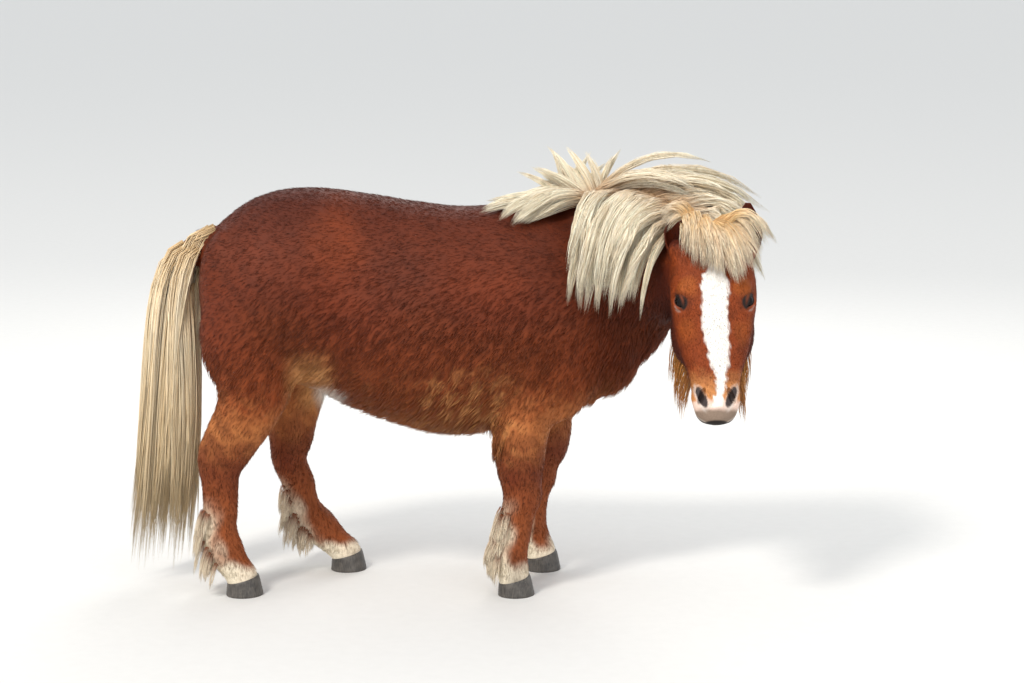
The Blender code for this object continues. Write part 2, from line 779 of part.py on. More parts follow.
def parted(body, collection):
    """Split the cut body into its nodes. What lies under the coronets is left out."""
    bm = bmesh.new()
    bm.from_mesh(body.data)
    cleaned(bm)
    places = node_places()
    nodes = {}
    for part in loose_parts(bm):
        verts = list({v for f in part for v in f.verts})
        middle = sum((v.co for v in verts), Vector()) / len(verts)
        name = min(places, key=lambda key: (places[key] - middle).length)
        if name in nodes or len(part) < 12:
            continue
        own = bmesh.new()
        copies = {v: own.verts.new(v.co) for v in verts}
        for face in part:
            own.faces.new([copies[v] for v in face.verts])
        nodes[name] = new_object(name, mesh_of(name, own), collection)
    removed([body])
    removed([nodes.pop(name) for name in list(nodes) if name.startswith("stub_")])
    return nodes


def hoof(plan, collection, sides=18):
    """A hoof that spreads towards its flat sole, under the slanting coronet."""
    top = coronet(plan)
    bm = bmesh.new()
    loops = []
    for share, length, width, ahead in ((1.0, 0.0405, 0.0405, 0.0), (0.80, 0.0425, 0.0420, 0.001), (0.0, 0.0480, 0.0465, 0.004)):
        loop = []
        for k in range(sides):
            angle = 2 * math.pi * k / sides
            heel = 0.90 if math.cos(angle) < 0 else 1.0
            x = plan.hoof + ahead + length * heel * math.cos(angle)
            y = plan.side * FEET_Y + width * math.sin(angle)
            ceiling = top.at.z - GAP - (x - top.at.x) * top.normal.x / top.normal.z
            loop.append(bm.verts.new((x, y, FLOOR + (ceiling - FLOOR) * share)))
        loops.append(loop)
    bridge(bm, loops)
    return new_object("hoof_" + plan.name.replace("_leg", ""), mesh_of("hoof", bm), collection)


@dataclass
class Lock:
    """One flat tapered lock of hair, before it falls: where it starts, which way, and its size."""

    root: Vector
    heading: Vector
    length: float
    width: float
    thickness: float
    droop: float
    lift: float
    steps: int = 5
    places: list = None


LOCK_PROFILE = [0.70, 0.95, 1.00, 0.86, 0.62, 0.36]
ROOT_DEPTH = 0.012


def fallen(lock, body):
    """The places along a lock as it bends down and slides over the body, each with its flat side's direction."""
    heading = lock.heading.normalized()
    at = lock.root + heading * 0.006
    places = [(lock.root - body.find_nearest(lock.root)[1] * ROOT_DEPTH, body.find_nearest(lock.root)[1])]
    stride = lock.length / lock.steps
    for _ in range(lock.steps):
        heading = (heading - UP * lock.droop).normalized()
        before = at
        at = at + heading * stride
        nearest, normal, _, distance = body.find_nearest(at)
        if (at - nearest).dot(normal) < 0 or distance < lock.lift:
            at = nearest + normal * lock.lift
            heading = (at - before).normalized()
        at.z = max(at.z, FLOOR + 0.006)
        places.append((at, normal))
    return places


def lock_mesh(lock, places, spare=0.0):
    """A closed lock with a diamond-shaped section along its places. Spare makes it that much thicker."""
    bm = bmesh.new()
    loops = []
    last = len(places) - 1
    for i, (at, normal) in enumerate(places[:-1]):
        along = (places[i + 1][0] - places[max(i - 1, 0)][0]).normalized()
        flat = (normal - along * normal.dot(along)).normalized()
        side = along.cross(flat)
        share = LOCK_PROFILE[min(i * len(LOCK_PROFILE) // last, len(LOCK_PROFILE) - 1)]
        wide, thick = 0.5 * lock.width * share + spare, 0.5 * lock.thickness * share**0.5 + spare
        corners = (side * wide, flat * thick, -side * wide, -flat * thick)
        loops.append([bm.verts.new(at + corner) for corner in corners])
    tip = bm.verts.new(places[last][0])
    for low, high in zip(loops, loops[1:]):
        for k in range(4):
            bm.faces.new((low[k], low[(k + 1) % 4], high[(k + 1) % 4], high[k]))
    bm.faces.new(reversed(loops[0]))
    for k in range(4):
        bm.faces.new((loops[-1][k], loops[-1][(k + 1) % 4], tip))
    bmesh.ops.recalc_face_normals(bm, faces=bm.faces)
    return bm


def tree_of(objects):
    """A search tree over the surfaces of some objects."""
    bm = bmesh.new()
    for obj in objects:
        bm.from_mesh(obj.data)
    tree = BVHTree.FromBMesh(bm)
    bm.free()
    return tree


def grow(name, locks, nodes, collection):
    """Let a node's locks fall clear of every other node. One that can't is shortened, or left out."""
    others = tree_of([node for other, node in nodes.items() if other != name])
    body = tree_of(nodes.values())
    grown = 0
    for lock in locks:
        for _ in range(4):
            places = lock.places or fallen(lock, body)
            trial = lock_mesh(lock, places, CLEARANCE)
            touching = BVHTree.FromBMesh(trial).overlap(others)
            trial.free()
            if not touching:
                new_object("lock", mesh_of("lock", lock_mesh(lock, places)), collection)
                grown += 1
                break
            lock.length *= 0.78
            if lock.places:
                lock.places = [(at + (UP - FORWARD * 0.1) * 0.06 * i / len(places), away) for i, (at, away) in enumerate(places)]
    print(name, "locks", grown, "of", len(locks))


CREST = [(0.232, -0.002), (0.300, -0.012), (0.370, -0.038), (0.450, -0.090), (0.515, -0.155), (0.552, -0.205)]


def on_crest(share, tree):
    """A place on top of the neck, from the withers (0) to the poll (1), and the crest's direction there."""
    where = min(max(share, 0.0), 0.999) * (len(CREST) - 1)
    low = int(where)
    a, b = Vector(CREST[low]), Vector(CREST[low + 1])
    x, y = a.lerp(b, where - low)
    hit = tree.ray_cast(Vector((x, y, 1.4)), -UP)[0]
    along = (b - a).normalized()
    return hit, Vector((along.x, along.y, 0.0))


def mane_locks(nodes):
    """Locks that fall down the neck's right side from the parting, and locks that rise and fan out over the left."""
    dice = random.Random(11)
    tree = tree_of([nodes["neck"]])
    locks = []
    for layer, (lift, reach, count) in enumerate(((0.009, 1.0, 11), (0.026, 0.90, 8))):
        for i in range(count):
            share = (i + 0.35 + 0.3 * layer) / count
            root, along = on_crest(share, tree)
            right = Vector((along.y, -along.x, 0.0))
            backward = 1.9 * (1 - share) ** 4
            heading = right + UP * (0.45 + 0.4 * layer) + along * (dice.uniform(-0.2, 0.1) - backward)
            length = reach * (0.19 + 0.10 * min(1.0, 3.5 * share) + 0.07 * math.sin(math.pi * share))
            locks.append(Lock(root, heading, length * dice.uniform(0.94, 1.05), 0.056, 0.012, 0.42, lift, 4))
    for layer, (droop, reach, count) in enumerate(((0.40, 0.90, 10), (0.24, 1.0, 9))):
        for i in range(count):
            share = (i + 0.2 + 0.4 * layer) / count
            root, along = on_crest(share, tree)
            turn = math.radians(165 - 150 * share**1.1)
            left = Vector((-along.y, along.x, 0.0))
            heading = FORWARD * math.cos(turn) + UP * math.sin(turn) + left * (0.75 - 0.45 * layer) * min(1.0, 2.5 * share)
            length = reach * (0.152 + 0.080 * max(0.0, math.cos(turn))) * dice.uniform(0.92, 1.05)
            locks.append(Lock(root, heading, length, 0.054, 0.012, droop, 0.012, 4))
    return locks


def forelock_locks(nodes):
    """Locks from between the ears: down the brow, and fanning to the pony's left."""
    dice = random.Random(5)
    tree = tree_of([nodes["head"]])
    locks = []
    count = 9
    for i in range(count):
        share = i / (count - 1)
        start = HEAD.point(0.012 + 0.020 * (i % 2), 0.06, -0.026 + 0.058 * share)
        root = tree.ray_cast(start, -HEAD.out)[0]
        heading = HEAD.out * 0.75 + HEAD.down * 0.35 + HEAD.left * (-0.25 + 1.15 * share**1.5)
        length = 0.125 * dice.uniform(0.86, 1.10)
        locks.append(Lock(root, heading, length, 0.042, 0.011, 0.55, 0.007 + 0.010 * (i % 2)))
    return locks


def beard_locks(nodes):
    """Sparse long hair that hangs from the edge of each jaw."""
    dice = random.Random(8)
    tree = tree_of([nodes["head"]])
    locks = []
    for side in (LEFT, RIGHT):
        for i in range(4):
            start = HEAD.point(0.155 + 0.032 * i, -0.25, side * (0.052 - 0.004 * i))
            root = tree.ray_cast(start, HEAD.out)[0]
            heading = HEAD.left * side * 0.45 - HEAD.out * 0.5 - UP * 0.7
            length = (0.105 - 0.008 * i) * dice.uniform(0.9, 1.1)
            locks.append(Lock(root, heading, length, 0.026, 0.008, 0.6, 0.004, 4))
    return locks


TAIL_TIP = Vector((-0.722, 0.0, FLOOR + 0.020))
TAIL_MIDDLE = Vector((-0.668, 0.0, 0.500))


def tail_places(lock, turn, spread, steps=6):
    """The places along a lock of the tail, from the dock past the tail's middle to its end."""
    away = Vector((math.cos(turn), math.sin(turn), 0.0))
    middle = TAIL_MIDDLE + Vector((away.x * 0.064, away.y * 0.058, 0.0)) * spread
    end = TAIL_TIP + Vector((away.x * 0.064, away.y * 0.044, lock.lift)) * spread
    places = [(lock.root - away * ROOT_DEPTH, away)]
    for i in range(1, steps + 1):
        t = i / steps
        places.append((lock.root * (1 - t) ** 2 + middle * 2 * t * (1 - t) + end * t * t, away))
    return places


def tail_locks(nodes):
    """Long locks from all round the dock, which hang to just above the floor."""
    dice = random.Random(3)
    tree = tree_of([nodes["tail"]])
    locks = []
    for count, height, spread, width, thickness in ((9, 0.770, 1.0, 0.058, 0.018), (7, 0.690, 0.75, 0.062, 0.022), (3, 0.620, 0.25, 0.060, 0.040)):
        for i in range(count):
            turn = 2 * math.pi * (i + 0.25 * count) / count
            away = Vector((math.cos(turn), math.sin(turn), 0.0))
            core = Vector((-0.672, 0.0, height - 0.03 * (i % 2)))
            root = tree.ray_cast(core + away * 0.2, -away)[0] or core + away * 0.02
            lock = Lock(root, -UP, 0.7, width, thickness, 0.0, dice.uniform(0.0, 0.05))
            lock.places = tail_places(lock, turn, spread)
            locks.append(lock)
    return locks


def feather_locks(name, nodes):
    """Long hair behind a fetlock and up the back of the cannon."""
    plan = next(p for p in FORE_LEGS + HIND_LEGS if name == cannon_name(p))
    dice = random.Random(name)
    tree = tree_of([nodes[name]])
    locks = []
    rows = ((0.205, (0.0,), 0.105), (0.165, (-0.7, 0.7), 0.100), (0.120, (-1.0, 0.0, 1.0), 0.085))
    for height, sides, length in rows:
        for aside in sides:
            away = Vector((-1.0, aside * 0.7, 0.0)).normalized()
            share = (height - 0.12) / 0.085
            core = Vector((plan.cannon * share + plan.fetlock * (1 - share), plan.side * FEET_Y, height))
            root = tree.ray_cast(core + away * 0.15, -away)[0]
            locks.append(Lock(root, away * 0.55 - UP * 0.8, length * dice.uniform(0.92, 1.08), 0.036, 0.012, 0.18, 0.003, 4))
    return locks


def cannon_name(plan):
    """The name of a leg's lower node."""
    return ("fore_cannon_" if plan in FORE_LEGS else "hind_cannon_") + SIDE_NAMES[plan.side]


def hair(nodes, collection):
    """Grow every kind of lock from the node that carries it."""
    kinds = {"neck": [mane_locks], "head": [forelock_locks, beard_locks], "tail": [tail_locks]}
    for plan in FORE_LEGS + HIND_LEGS:
        kinds[cannon_name(plan)] = [lambda nodes, name=cannon_name(plan): feather_locks(name, nodes)]
    for name, makers in kinds.items():
        locks = [lock for maker in makers for lock in maker(nodes)]
        grow(name, locks, nodes, collection)
        combined(nodes[name], collection, "UNION", "MANIFOLD")
        keep_largest(nodes[name])


MATERIALS = {
    "chestnut_coat": (0.235, 0.062, 0.020, 0.75),
    "eye_dark": (0.020, 0.012, 0.010, 0.08),
    "hoof_horn": (0.090, 0.080, 0.072, 0.45),
    "flaxen_hair": (0.700, 0.560, 0.380, 0.60),
}


def material(name):
    """A plain material with a colour and a roughness."""
    made = bpy.data.materials.get(name)
    if made is None:
        red, green, blue, rough = MATERIALS[name]
        made = bpy.data.materials.new(name)
        made.use_nodes = True
        shader = made.node_tree.nodes["Principled BSDF"]
        shader.inputs["Base Color"].default_value = (red, green, blue, 1.0)
        shader.inputs["Roughness"].default_value = rough
    return made


def material_of(name):
    """The material that a node mostly shows."""
    if name.startswith("eye"):
        return material("eye_dark")
    if name.startswith("hoof"):
        return material("hoof_horn")
    if name == "tail":
        return material("flaxen_hair")
    return material("chestnut_coat")


def main():
    """Build the pony."""
    clear_scene()
    pony = new_collection("shetland_pony", shown=True)
    added = new_collection("added_forms", shown=False)
    taken = new_collection("taken_forms", shown=False)
    body = flesh(pony)
    for ear in EARS:
        ear_form(ear, added)
    for side in (LEFT, RIGHT):
        lid_form(side, math.radians(42), 0.0064, added)
        lid_form(side, math.radians(-38), 0.0056, added)
        socket_form(side, taken)
        nostril_form(side, taken)
    mouth_form(taken)
    combined(body, added, "UNION")
    for cut in cuts():
        cut_form(cut, taken)
    combined(body, taken, "DIFFERENCE")
    nodes = parted(body, pony)
    for plan in FORE_LEGS + HIND_LEGS:
        made = hoof(plan, pony)
        nodes[made.name] = made
    for side in (LEFT, RIGHT):
        name = "eye_" + SIDE_NAMES[side]
        nodes[name] = ellipsoid(name, eye_centre(side), (EYE_RADIUS,) * 3, pony, segments=14)
    for node in nodes.values():
        keep_largest(node)
    hair(nodes, added)
    for name, node in nodes.items():
        node.data.materials.clear()
        node.data.materials.append(material_of(name))
        node.data.transform(Matrix.Translation(-BOX_MIDDLE))
        print(name, len(node.data.polygons))
    for collection in (added, taken):
        bpy.data.collections.remove(collection)


if __name__ == "__main__":
    main()
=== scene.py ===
"""A Shetland pony in its winter coat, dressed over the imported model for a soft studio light.

Metres, +Z up. The shapes are worked out with the body's midline at Y = 0, as in the part's own source. Each
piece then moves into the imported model's frame, whose box is centred on the origin and stands on the floor.
"""

from __future__ import annotations

import logging
import math
from collections.abc import Callable
from dataclasses import dataclass, field
from enum import Enum

import bmesh
import bpy
import numpy as np
from mathutils import Matrix, Vector
from mathutils.bvhtree import BVHTree
from mathutils.kdtree import KDTree

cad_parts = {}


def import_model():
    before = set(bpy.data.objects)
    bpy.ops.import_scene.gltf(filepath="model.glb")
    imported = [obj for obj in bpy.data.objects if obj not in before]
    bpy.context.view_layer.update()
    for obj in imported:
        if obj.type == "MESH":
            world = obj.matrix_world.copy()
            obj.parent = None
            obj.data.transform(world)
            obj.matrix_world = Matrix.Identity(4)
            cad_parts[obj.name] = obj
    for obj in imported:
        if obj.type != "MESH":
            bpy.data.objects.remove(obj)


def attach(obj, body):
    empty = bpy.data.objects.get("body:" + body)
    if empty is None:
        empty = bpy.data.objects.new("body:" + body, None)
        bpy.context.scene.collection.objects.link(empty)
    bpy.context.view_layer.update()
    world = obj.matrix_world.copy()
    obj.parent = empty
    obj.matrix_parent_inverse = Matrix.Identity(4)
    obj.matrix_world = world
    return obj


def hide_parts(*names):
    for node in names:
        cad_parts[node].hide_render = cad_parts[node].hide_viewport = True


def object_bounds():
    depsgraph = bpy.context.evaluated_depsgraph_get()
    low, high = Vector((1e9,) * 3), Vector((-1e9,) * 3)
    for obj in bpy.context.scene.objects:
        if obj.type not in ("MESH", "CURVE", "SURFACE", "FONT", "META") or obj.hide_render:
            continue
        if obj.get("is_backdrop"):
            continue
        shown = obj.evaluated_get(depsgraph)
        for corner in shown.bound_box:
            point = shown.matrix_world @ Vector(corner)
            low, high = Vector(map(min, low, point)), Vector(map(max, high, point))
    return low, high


LOG = logging.getLogger("pony")

BOX_MIDDLE = Vector((-0.026, -0.097, 0.012))
FLOOR = 0.012
BODY = "root"
UP = Vector((0.0, 0.0, 1.0))
FORWARD = Vector((1.0, 0.0, 0.0))
LEFTWARD = Vector((0.0, 1.0, 0.0))
COAT_LAYER = "Coat"
BAKE_LAYER = "OFBake"

WAVE_COUNT = 7
WAVE_SUM = 3.2
FULL_TURN = 6.28
TINY = 1e-9

Place = tuple[float, float, float]
Colour = tuple[float, float, float]
Rgba = tuple[float, float, float, float]
Measure = float | Vector
Bundle = tuple[np.ndarray, np.ndarray, np.ndarray]
Tone = Callable[[np.ndarray, np.random.Generator], np.ndarray]


class Side(Enum):
    """A side of the pony, as the sign of its Y."""

    LEFT = 1.0
    RIGHT = -1.0


# Small tools


def smooth(low: float, high: float, value: np.ndarray) -> np.ndarray:
    """A smooth ramp from 0 at low to 1 at high."""
    t = np.clip((value - low) / (high - low), 0.0, 1.0)
    return t * t * (3.0 - 2.0 * t)


def mix(a: np.ndarray, b: np.ndarray, share: np.ndarray) -> np.ndarray:
    """Blend two colours or vectors, row by row."""
    return a + (b - a) * share[:, None]


def linear(red: float, green: float, blue: float) -> np.ndarray:
    """A display colour of 0 to 255 as scene-linear values."""
    c = np.array([red, green, blue]) / 255.0
    return np.where(c <= 0.04045, c / 12.92, ((c + 0.055) / 1.055) ** 2.4)


def over(colours: np.ndarray, tone: Colour, share: np.ndarray) -> np.ndarray:
    """Lay one display colour over others, row by row."""
    return mix(colours, linear(*tone), share)


def waves(at: np.ndarray, size: float, seed: int, stretch: Place = (1.0, 1.0, 1.0)) -> np.ndarray:
    """Soft random patches between about -1 and 1.

    Args:
        at: Places, one a row.
        size: About how far apart the patches are, in metres.
        seed: Which pattern.
        stretch: How much longer the patches are along each axis.

    Returns:
        One value for each place.
    """
    dice = np.random.default_rng(seed)
    total = np.zeros(len(at))
    spread = np.array(at) / np.array(stretch)
    for _ in range(WAVE_COUNT):
        way = dice.normal(size=3)
        way *= (2.0 * math.pi / size) * dice.uniform(0.6, 1.5) / np.linalg.norm(way)
        total += np.sin(spread @ way + dice.uniform(0.0, FULL_TURN))
    return total / WAVE_SUM


def unit(vectors: np.ndarray) -> np.ndarray:
    """Vectors of length one, row by row."""
    return vectors / np.maximum(np.linalg.norm(vectors, axis=-1, keepdims=True), TINY)


def new_object(name: str, bm: bmesh.types.BMesh) -> bpy.types.Object:
    """Write a bmesh to a new object in the scene and free it.

    Args:
        name: The object's name.
        bm: The shape, which is used up.

    Returns:
        The object.
    """
    mesh = bpy.data.meshes.new(name)
    bm.to_mesh(mesh)
    bm.free()
    obj = bpy.data.objects.new(name, mesh)
    bpy.context.scene.collection.objects.link(obj)
    return obj


def settled(obj: bpy.types.Object) -> bpy.types.Object:
    """Apply an object's modifiers, so that its own mesh is the finished one.

    Args:
        obj: The object.

    Returns:
        The same object.
    """
    graph = bpy.context.evaluated_depsgraph_get()
    mesh = bpy.data.meshes.new_from_object(obj.evaluated_get(graph))
    obj.modifiers.clear()
    old = obj.data
    obj.data = mesh
    bpy.data.meshes.remove(old)
    return obj


def joined(name: str, forms: list[bmesh.types.BMesh]) -> bpy.types.Object:
    """One object that holds several closed forms, which may overlap.

    Args:
        name: The object's name.
        forms: Closed forms, which are used up.

    Returns:
        The object.
    """
    whole = bmesh.new()
    for form in forms:
        spare = bpy.data.meshes.new("spare")
        form.to_mesh(spare)
        form.free()
        whole.from_mesh(spare)
        bpy.data.meshes.remove(spare)
    return new_object(name, whole)


def combine(obj: bpy.types.Object, forms: list[bmesh.types.BMesh], operation: str) -> None:
    """Join closed forms to an object, or take them out of it.

    Args:
        obj: The object that changes.
        forms: Closed forms, which are used up.
        operation: The Boolean modifier's own word for it.
    """
    for form in forms:
        tool = new_object("tool", form)
        boolean = obj.modifiers.new("shape", "BOOLEAN")
        boolean.operation = operation
        boolean.solver = "MANIFOLD"
        boolean.object = tool
        settled(obj)
        spare = tool.data
        bpy.data.objects.remove(tool, do_unlink=True)
        bpy.data.meshes.remove(spare)


def vertex_array(mesh: bpy.types.Mesh, what: str = "co") -> np.ndarray:
    """The places or normals of a mesh's vertices, one a row.

    Args:
        mesh: The mesh.
        what: The vertices' property: co or normal.

    Returns:
        The values.
    """
    values = np.empty(len(mesh.vertices) * 3, dtype=np.float32)
    mesh.vertices.foreach_get(what, values)
    return values.reshape(-1, 3).astype(np.float64)


def paint(mesh: bpy.types.Mesh, colours: np.ndarray) -> None:
    """Write one colour for each vertex to the mesh's coat layer.

    Args:
        mesh: The mesh.
        colours: Scene-linear colours, one a row.
    """
    layer = mesh.color_attributes.new(COAT_LAYER, "FLOAT_COLOR", "POINT")
    rgba = np.ones((len(mesh.vertices), 4), dtype=np.float32)
    rgba[:, :3] = np.clip(colours, 0.0, 1.0)
    layer.data.foreach_set("color", rgba.ravel())


def finished(
    obj: bpy.types.Object, material: bpy.types.Material, nodes: list[str]
) -> bpy.types.Object:
    """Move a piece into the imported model's frame, dress it and let it ride on the pony's body.

    Args:
        obj: The piece, still placed from the body's midline.
        material: Its finish.
        nodes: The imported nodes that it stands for.

    Returns:
        The same piece.
    """
    obj.data.transform(Matrix.Translation(-BOX_MIDDLE))
    obj.data.materials.clear()
    obj.data.materials.append(material)
    obj.data.polygons.foreach_set("use_smooth", [True] * len(obj.data.polygons))
    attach(obj, BODY)
    if nodes:
        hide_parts(*nodes)
    LOG.info("%s: %d faces", obj.name, len(obj.data.polygons))
    return obj


# Forms


@dataclass
class Section:
    """One cross-section of a limb or body: where it is, and how far it reaches each way."""

    at: Vector
    front: float
    back: float
    side: float
    taper: float = 0.0


def between(a: Measure, b: Measure, c: Measure, d: Measure, t: float) -> Measure:
    """A smooth value between b and c, where a and d are their neighbours."""
    return 0.5 * (2 * b + (c - a) * t + (2 * a - 5 * b + 4 * c - d) * t * t + (3 * b - a - 3 * c + d) * t**3)


def filled_in(sections: list[Section], steps: int) -> list[Section]:
    """More cross-sections between the given ones, along a smooth curve through them.

    Args:
        sections: The given cross-sections, in order.
        steps: How many for each given one.

    Returns:
        All of the cross-sections.
    """
    padded = [sections[0], *sections, sections[-1]]
    names = ("at", "front", "back", "side", "taper")
    made = []
    for i in range(1, len(padded) - 2):
        four = padded[i - 1 : i + 3]
        for step in range(steps):
            made.append(Section(*(between(*(getattr(s, n) for s in four), step / steps) for n in names)))
    return [*made, sections[-1]]


def loft(sections: list[Section], facing: Vector, steps: int = 5, sides: int = 32) -> bmesh.types.BMesh:
    """A closed body through cross-sections.

    Args:
        sections: The cross-sections, in order.
        facing: Where each section's front points.
        steps: How many rings for each given section.
        sides: How many points on a ring.

    Returns:
        The closed body.
    """
    rings = filled_in(sections, steps)
    bm = bmesh.new()
    rims = []
    for i, ring in enumerate(rings):
        along = (rings[min(i + 1, len(rings) - 1)].at - rings[max(i - 1, 0)].at).normalized()
        front = (facing - along * facing.dot(along)).normalized()
        side = along.cross(front)
        ends = i in (0, len(rings) - 1)
        verts = bmesh.ops.create_circle(bm, cap_ends=ends, segments=sides, radius=1.0)["verts"]
        for vert in verts:
            across, ahead = vert.co.x, vert.co.y
            reach = ring.front if ahead > 0 else ring.back
            width = ring.side * (1 - ring.taper * ahead)
            vert.co = ring.at + front * reach * ahead + side * width * across
        rims.append(list({edge for vert in verts for edge in vert.link_edges}))
    for low, high in zip(rims, rims[1:]):
        bmesh.ops.bridge_loops(bm, edges=low + high)
    bmesh.ops.recalc_face_normals(bm, faces=bm.faces)
    return bm


def ellipsoid(
    centre: Vector, radii: Place, turn: Matrix | None = None, segments: int = 32
) -> bmesh.types.BMesh:
    """A stretched sphere, for a muscle, a swelling or an eye.

    Args:
        centre: Its middle.
        radii: Its reach along each of its own axes.
        turn: Its rotation.
        segments: How many points round it.

    Returns:
        The closed body.
    """
    bm = bmesh.new()
    bmesh.ops.create_uvsphere(bm, u_segments=segments, v_segments=segments // 2, radius=1.0)
    matrix = Matrix.Translation(centre) @ (turn or Matrix.Identity(4)) @ Matrix.Diagonal((*radii, 1.0))
    bmesh.ops.transform(bm, matrix=matrix, verts=bm.verts)
    bmesh.ops.recalc_face_normals(bm, faces=bm.faces)
    return bm


@dataclass
class HeadFrame:
    """The head's own directions: down the face, out of the forehead, and to the pony's left."""

    poll: Vector = field(default_factory=lambda: Vector((0.595, -0.270, 0.888)))
    pitch: float = math.radians(70.0)
    yaw: float = math.radians(-2.0)
    roll: float = math.radians(1.0)
    throat_side: Vector = field(default_factory=lambda: Vector((0.25, -0.93, -0.20)).normalized())

    def __post_init__(self) -> None:
        """Work out the three directions."""
        ahead = Vector((math.sin(self.yaw), -math.cos(self.yaw), 0.0))
        level = UP.cross(ahead)
        steep = ahead * math.cos(self.pitch) - UP * math.sin(self.pitch)
        self.down = steep * math.cos(self.roll) + level * math.sin(self.roll)
        self.left = level * math.cos(self.roll) - steep * math.sin(self.roll)
        self.out = ahead * math.sin(self.pitch) + UP * math.cos(self.pitch)
        self.throat = self.point(0.065, -0.0975) - self.throat_side * 0.008

    def point(self, down: float, out: float, left: float = 0.0) -> Vector:
        """A place given in the head's own directions, from the poll."""
        return self.poll + self.down * down + self.out * out + self.left * left

    def nostril(self, side: Side) -> Vector:
        """The middle of one nostril."""
        return self.point(0.368, 0.031, side.value * 0.0335)

    @property
    def mouth(self) -> tuple[Vector, Vector, Vector]:
        """The back of the mouth line, the way it runs and the direction square to it.

        Returns:
            The place and the two directions.
        """
        start = self.point(0.338, -0.043)
        along = (self.point(0.430, 0.002) - start).normalized()
        return start, along, along.cross(self.left)

    def turn(self) -> Matrix:
        """A rotation that takes X to the head's left, Y out of the forehead and Z up the face."""
        return Matrix((self.left, self.out, -self.down)).transposed().to_4x4()

    def local(self, at: np.ndarray) -> tuple[np.ndarray, np.ndarray, np.ndarray]:
        """How far places lie down the face, out of it, and to its left."""
        away = at - np.array(self.poll)
        return away @ np.array(self.down), away @ np.array(self.out), away @ np.array(self.left)

    def share(self, at: np.ndarray, soft: float = 0.03) -> np.ndarray:
        """How far each place belongs to the head, from 0 to 1."""
        ahead = (at - np.array(self.throat)) @ np.array(self.throat_side)
        return smooth(-soft, soft, ahead) * smooth(-0.13, -0.17, at[:, 1])


HEAD = HeadFrame()


@dataclass
class Leg:
    """How one leg stands: the fore-and-aft place of its joints."""

    name: str
    side: Side
    top: tuple[float, float]
    forearm: float
    knee: float
    cannon: float
    fetlock: float
    hoof: float
    feet_y: float = 0.120
    is_fore: bool = True

    @property
    def y(self) -> float:
        """How far the foot stands from the midline, with its sign."""
        return self.side.value * self.feet_y

    def centre_x(self, height: np.ndarray) -> np.ndarray:
        """The fore-and-aft place of the leg's middle at a height.

        Args:
            height: One height or several.

        Returns:
            The place's X for each.
        """
        knee = 0.250 if self.is_fore else 0.310
        heights = [0.03, 0.055, 0.12, 0.17, knee, 0.42]
        places = [self.hoof, self.hoof, self.fetlock, self.cannon, self.knee, self.forearm]
        return np.interp(height, heights, places)


LEGS = [
    Leg("fore_leg_right", Side.RIGHT, (0.195, 0.62), 0.158, 0.160, 0.148, 0.134, 0.140),
    Leg("fore_leg_left", Side.LEFT, (0.205, 0.62), 0.222, 0.200, 0.188, 0.184, 0.208),
    Leg("hind_leg_right", Side.RIGHT, (-0.450, 0.68), -0.482, -0.552, -0.562, -0.552, -0.514, is_fore=False),
    Leg("hind_leg_left", Side.LEFT, (-0.420, 0.68), -0.400, -0.412, -0.384, -0.344, -0.280, is_fore=False),
]


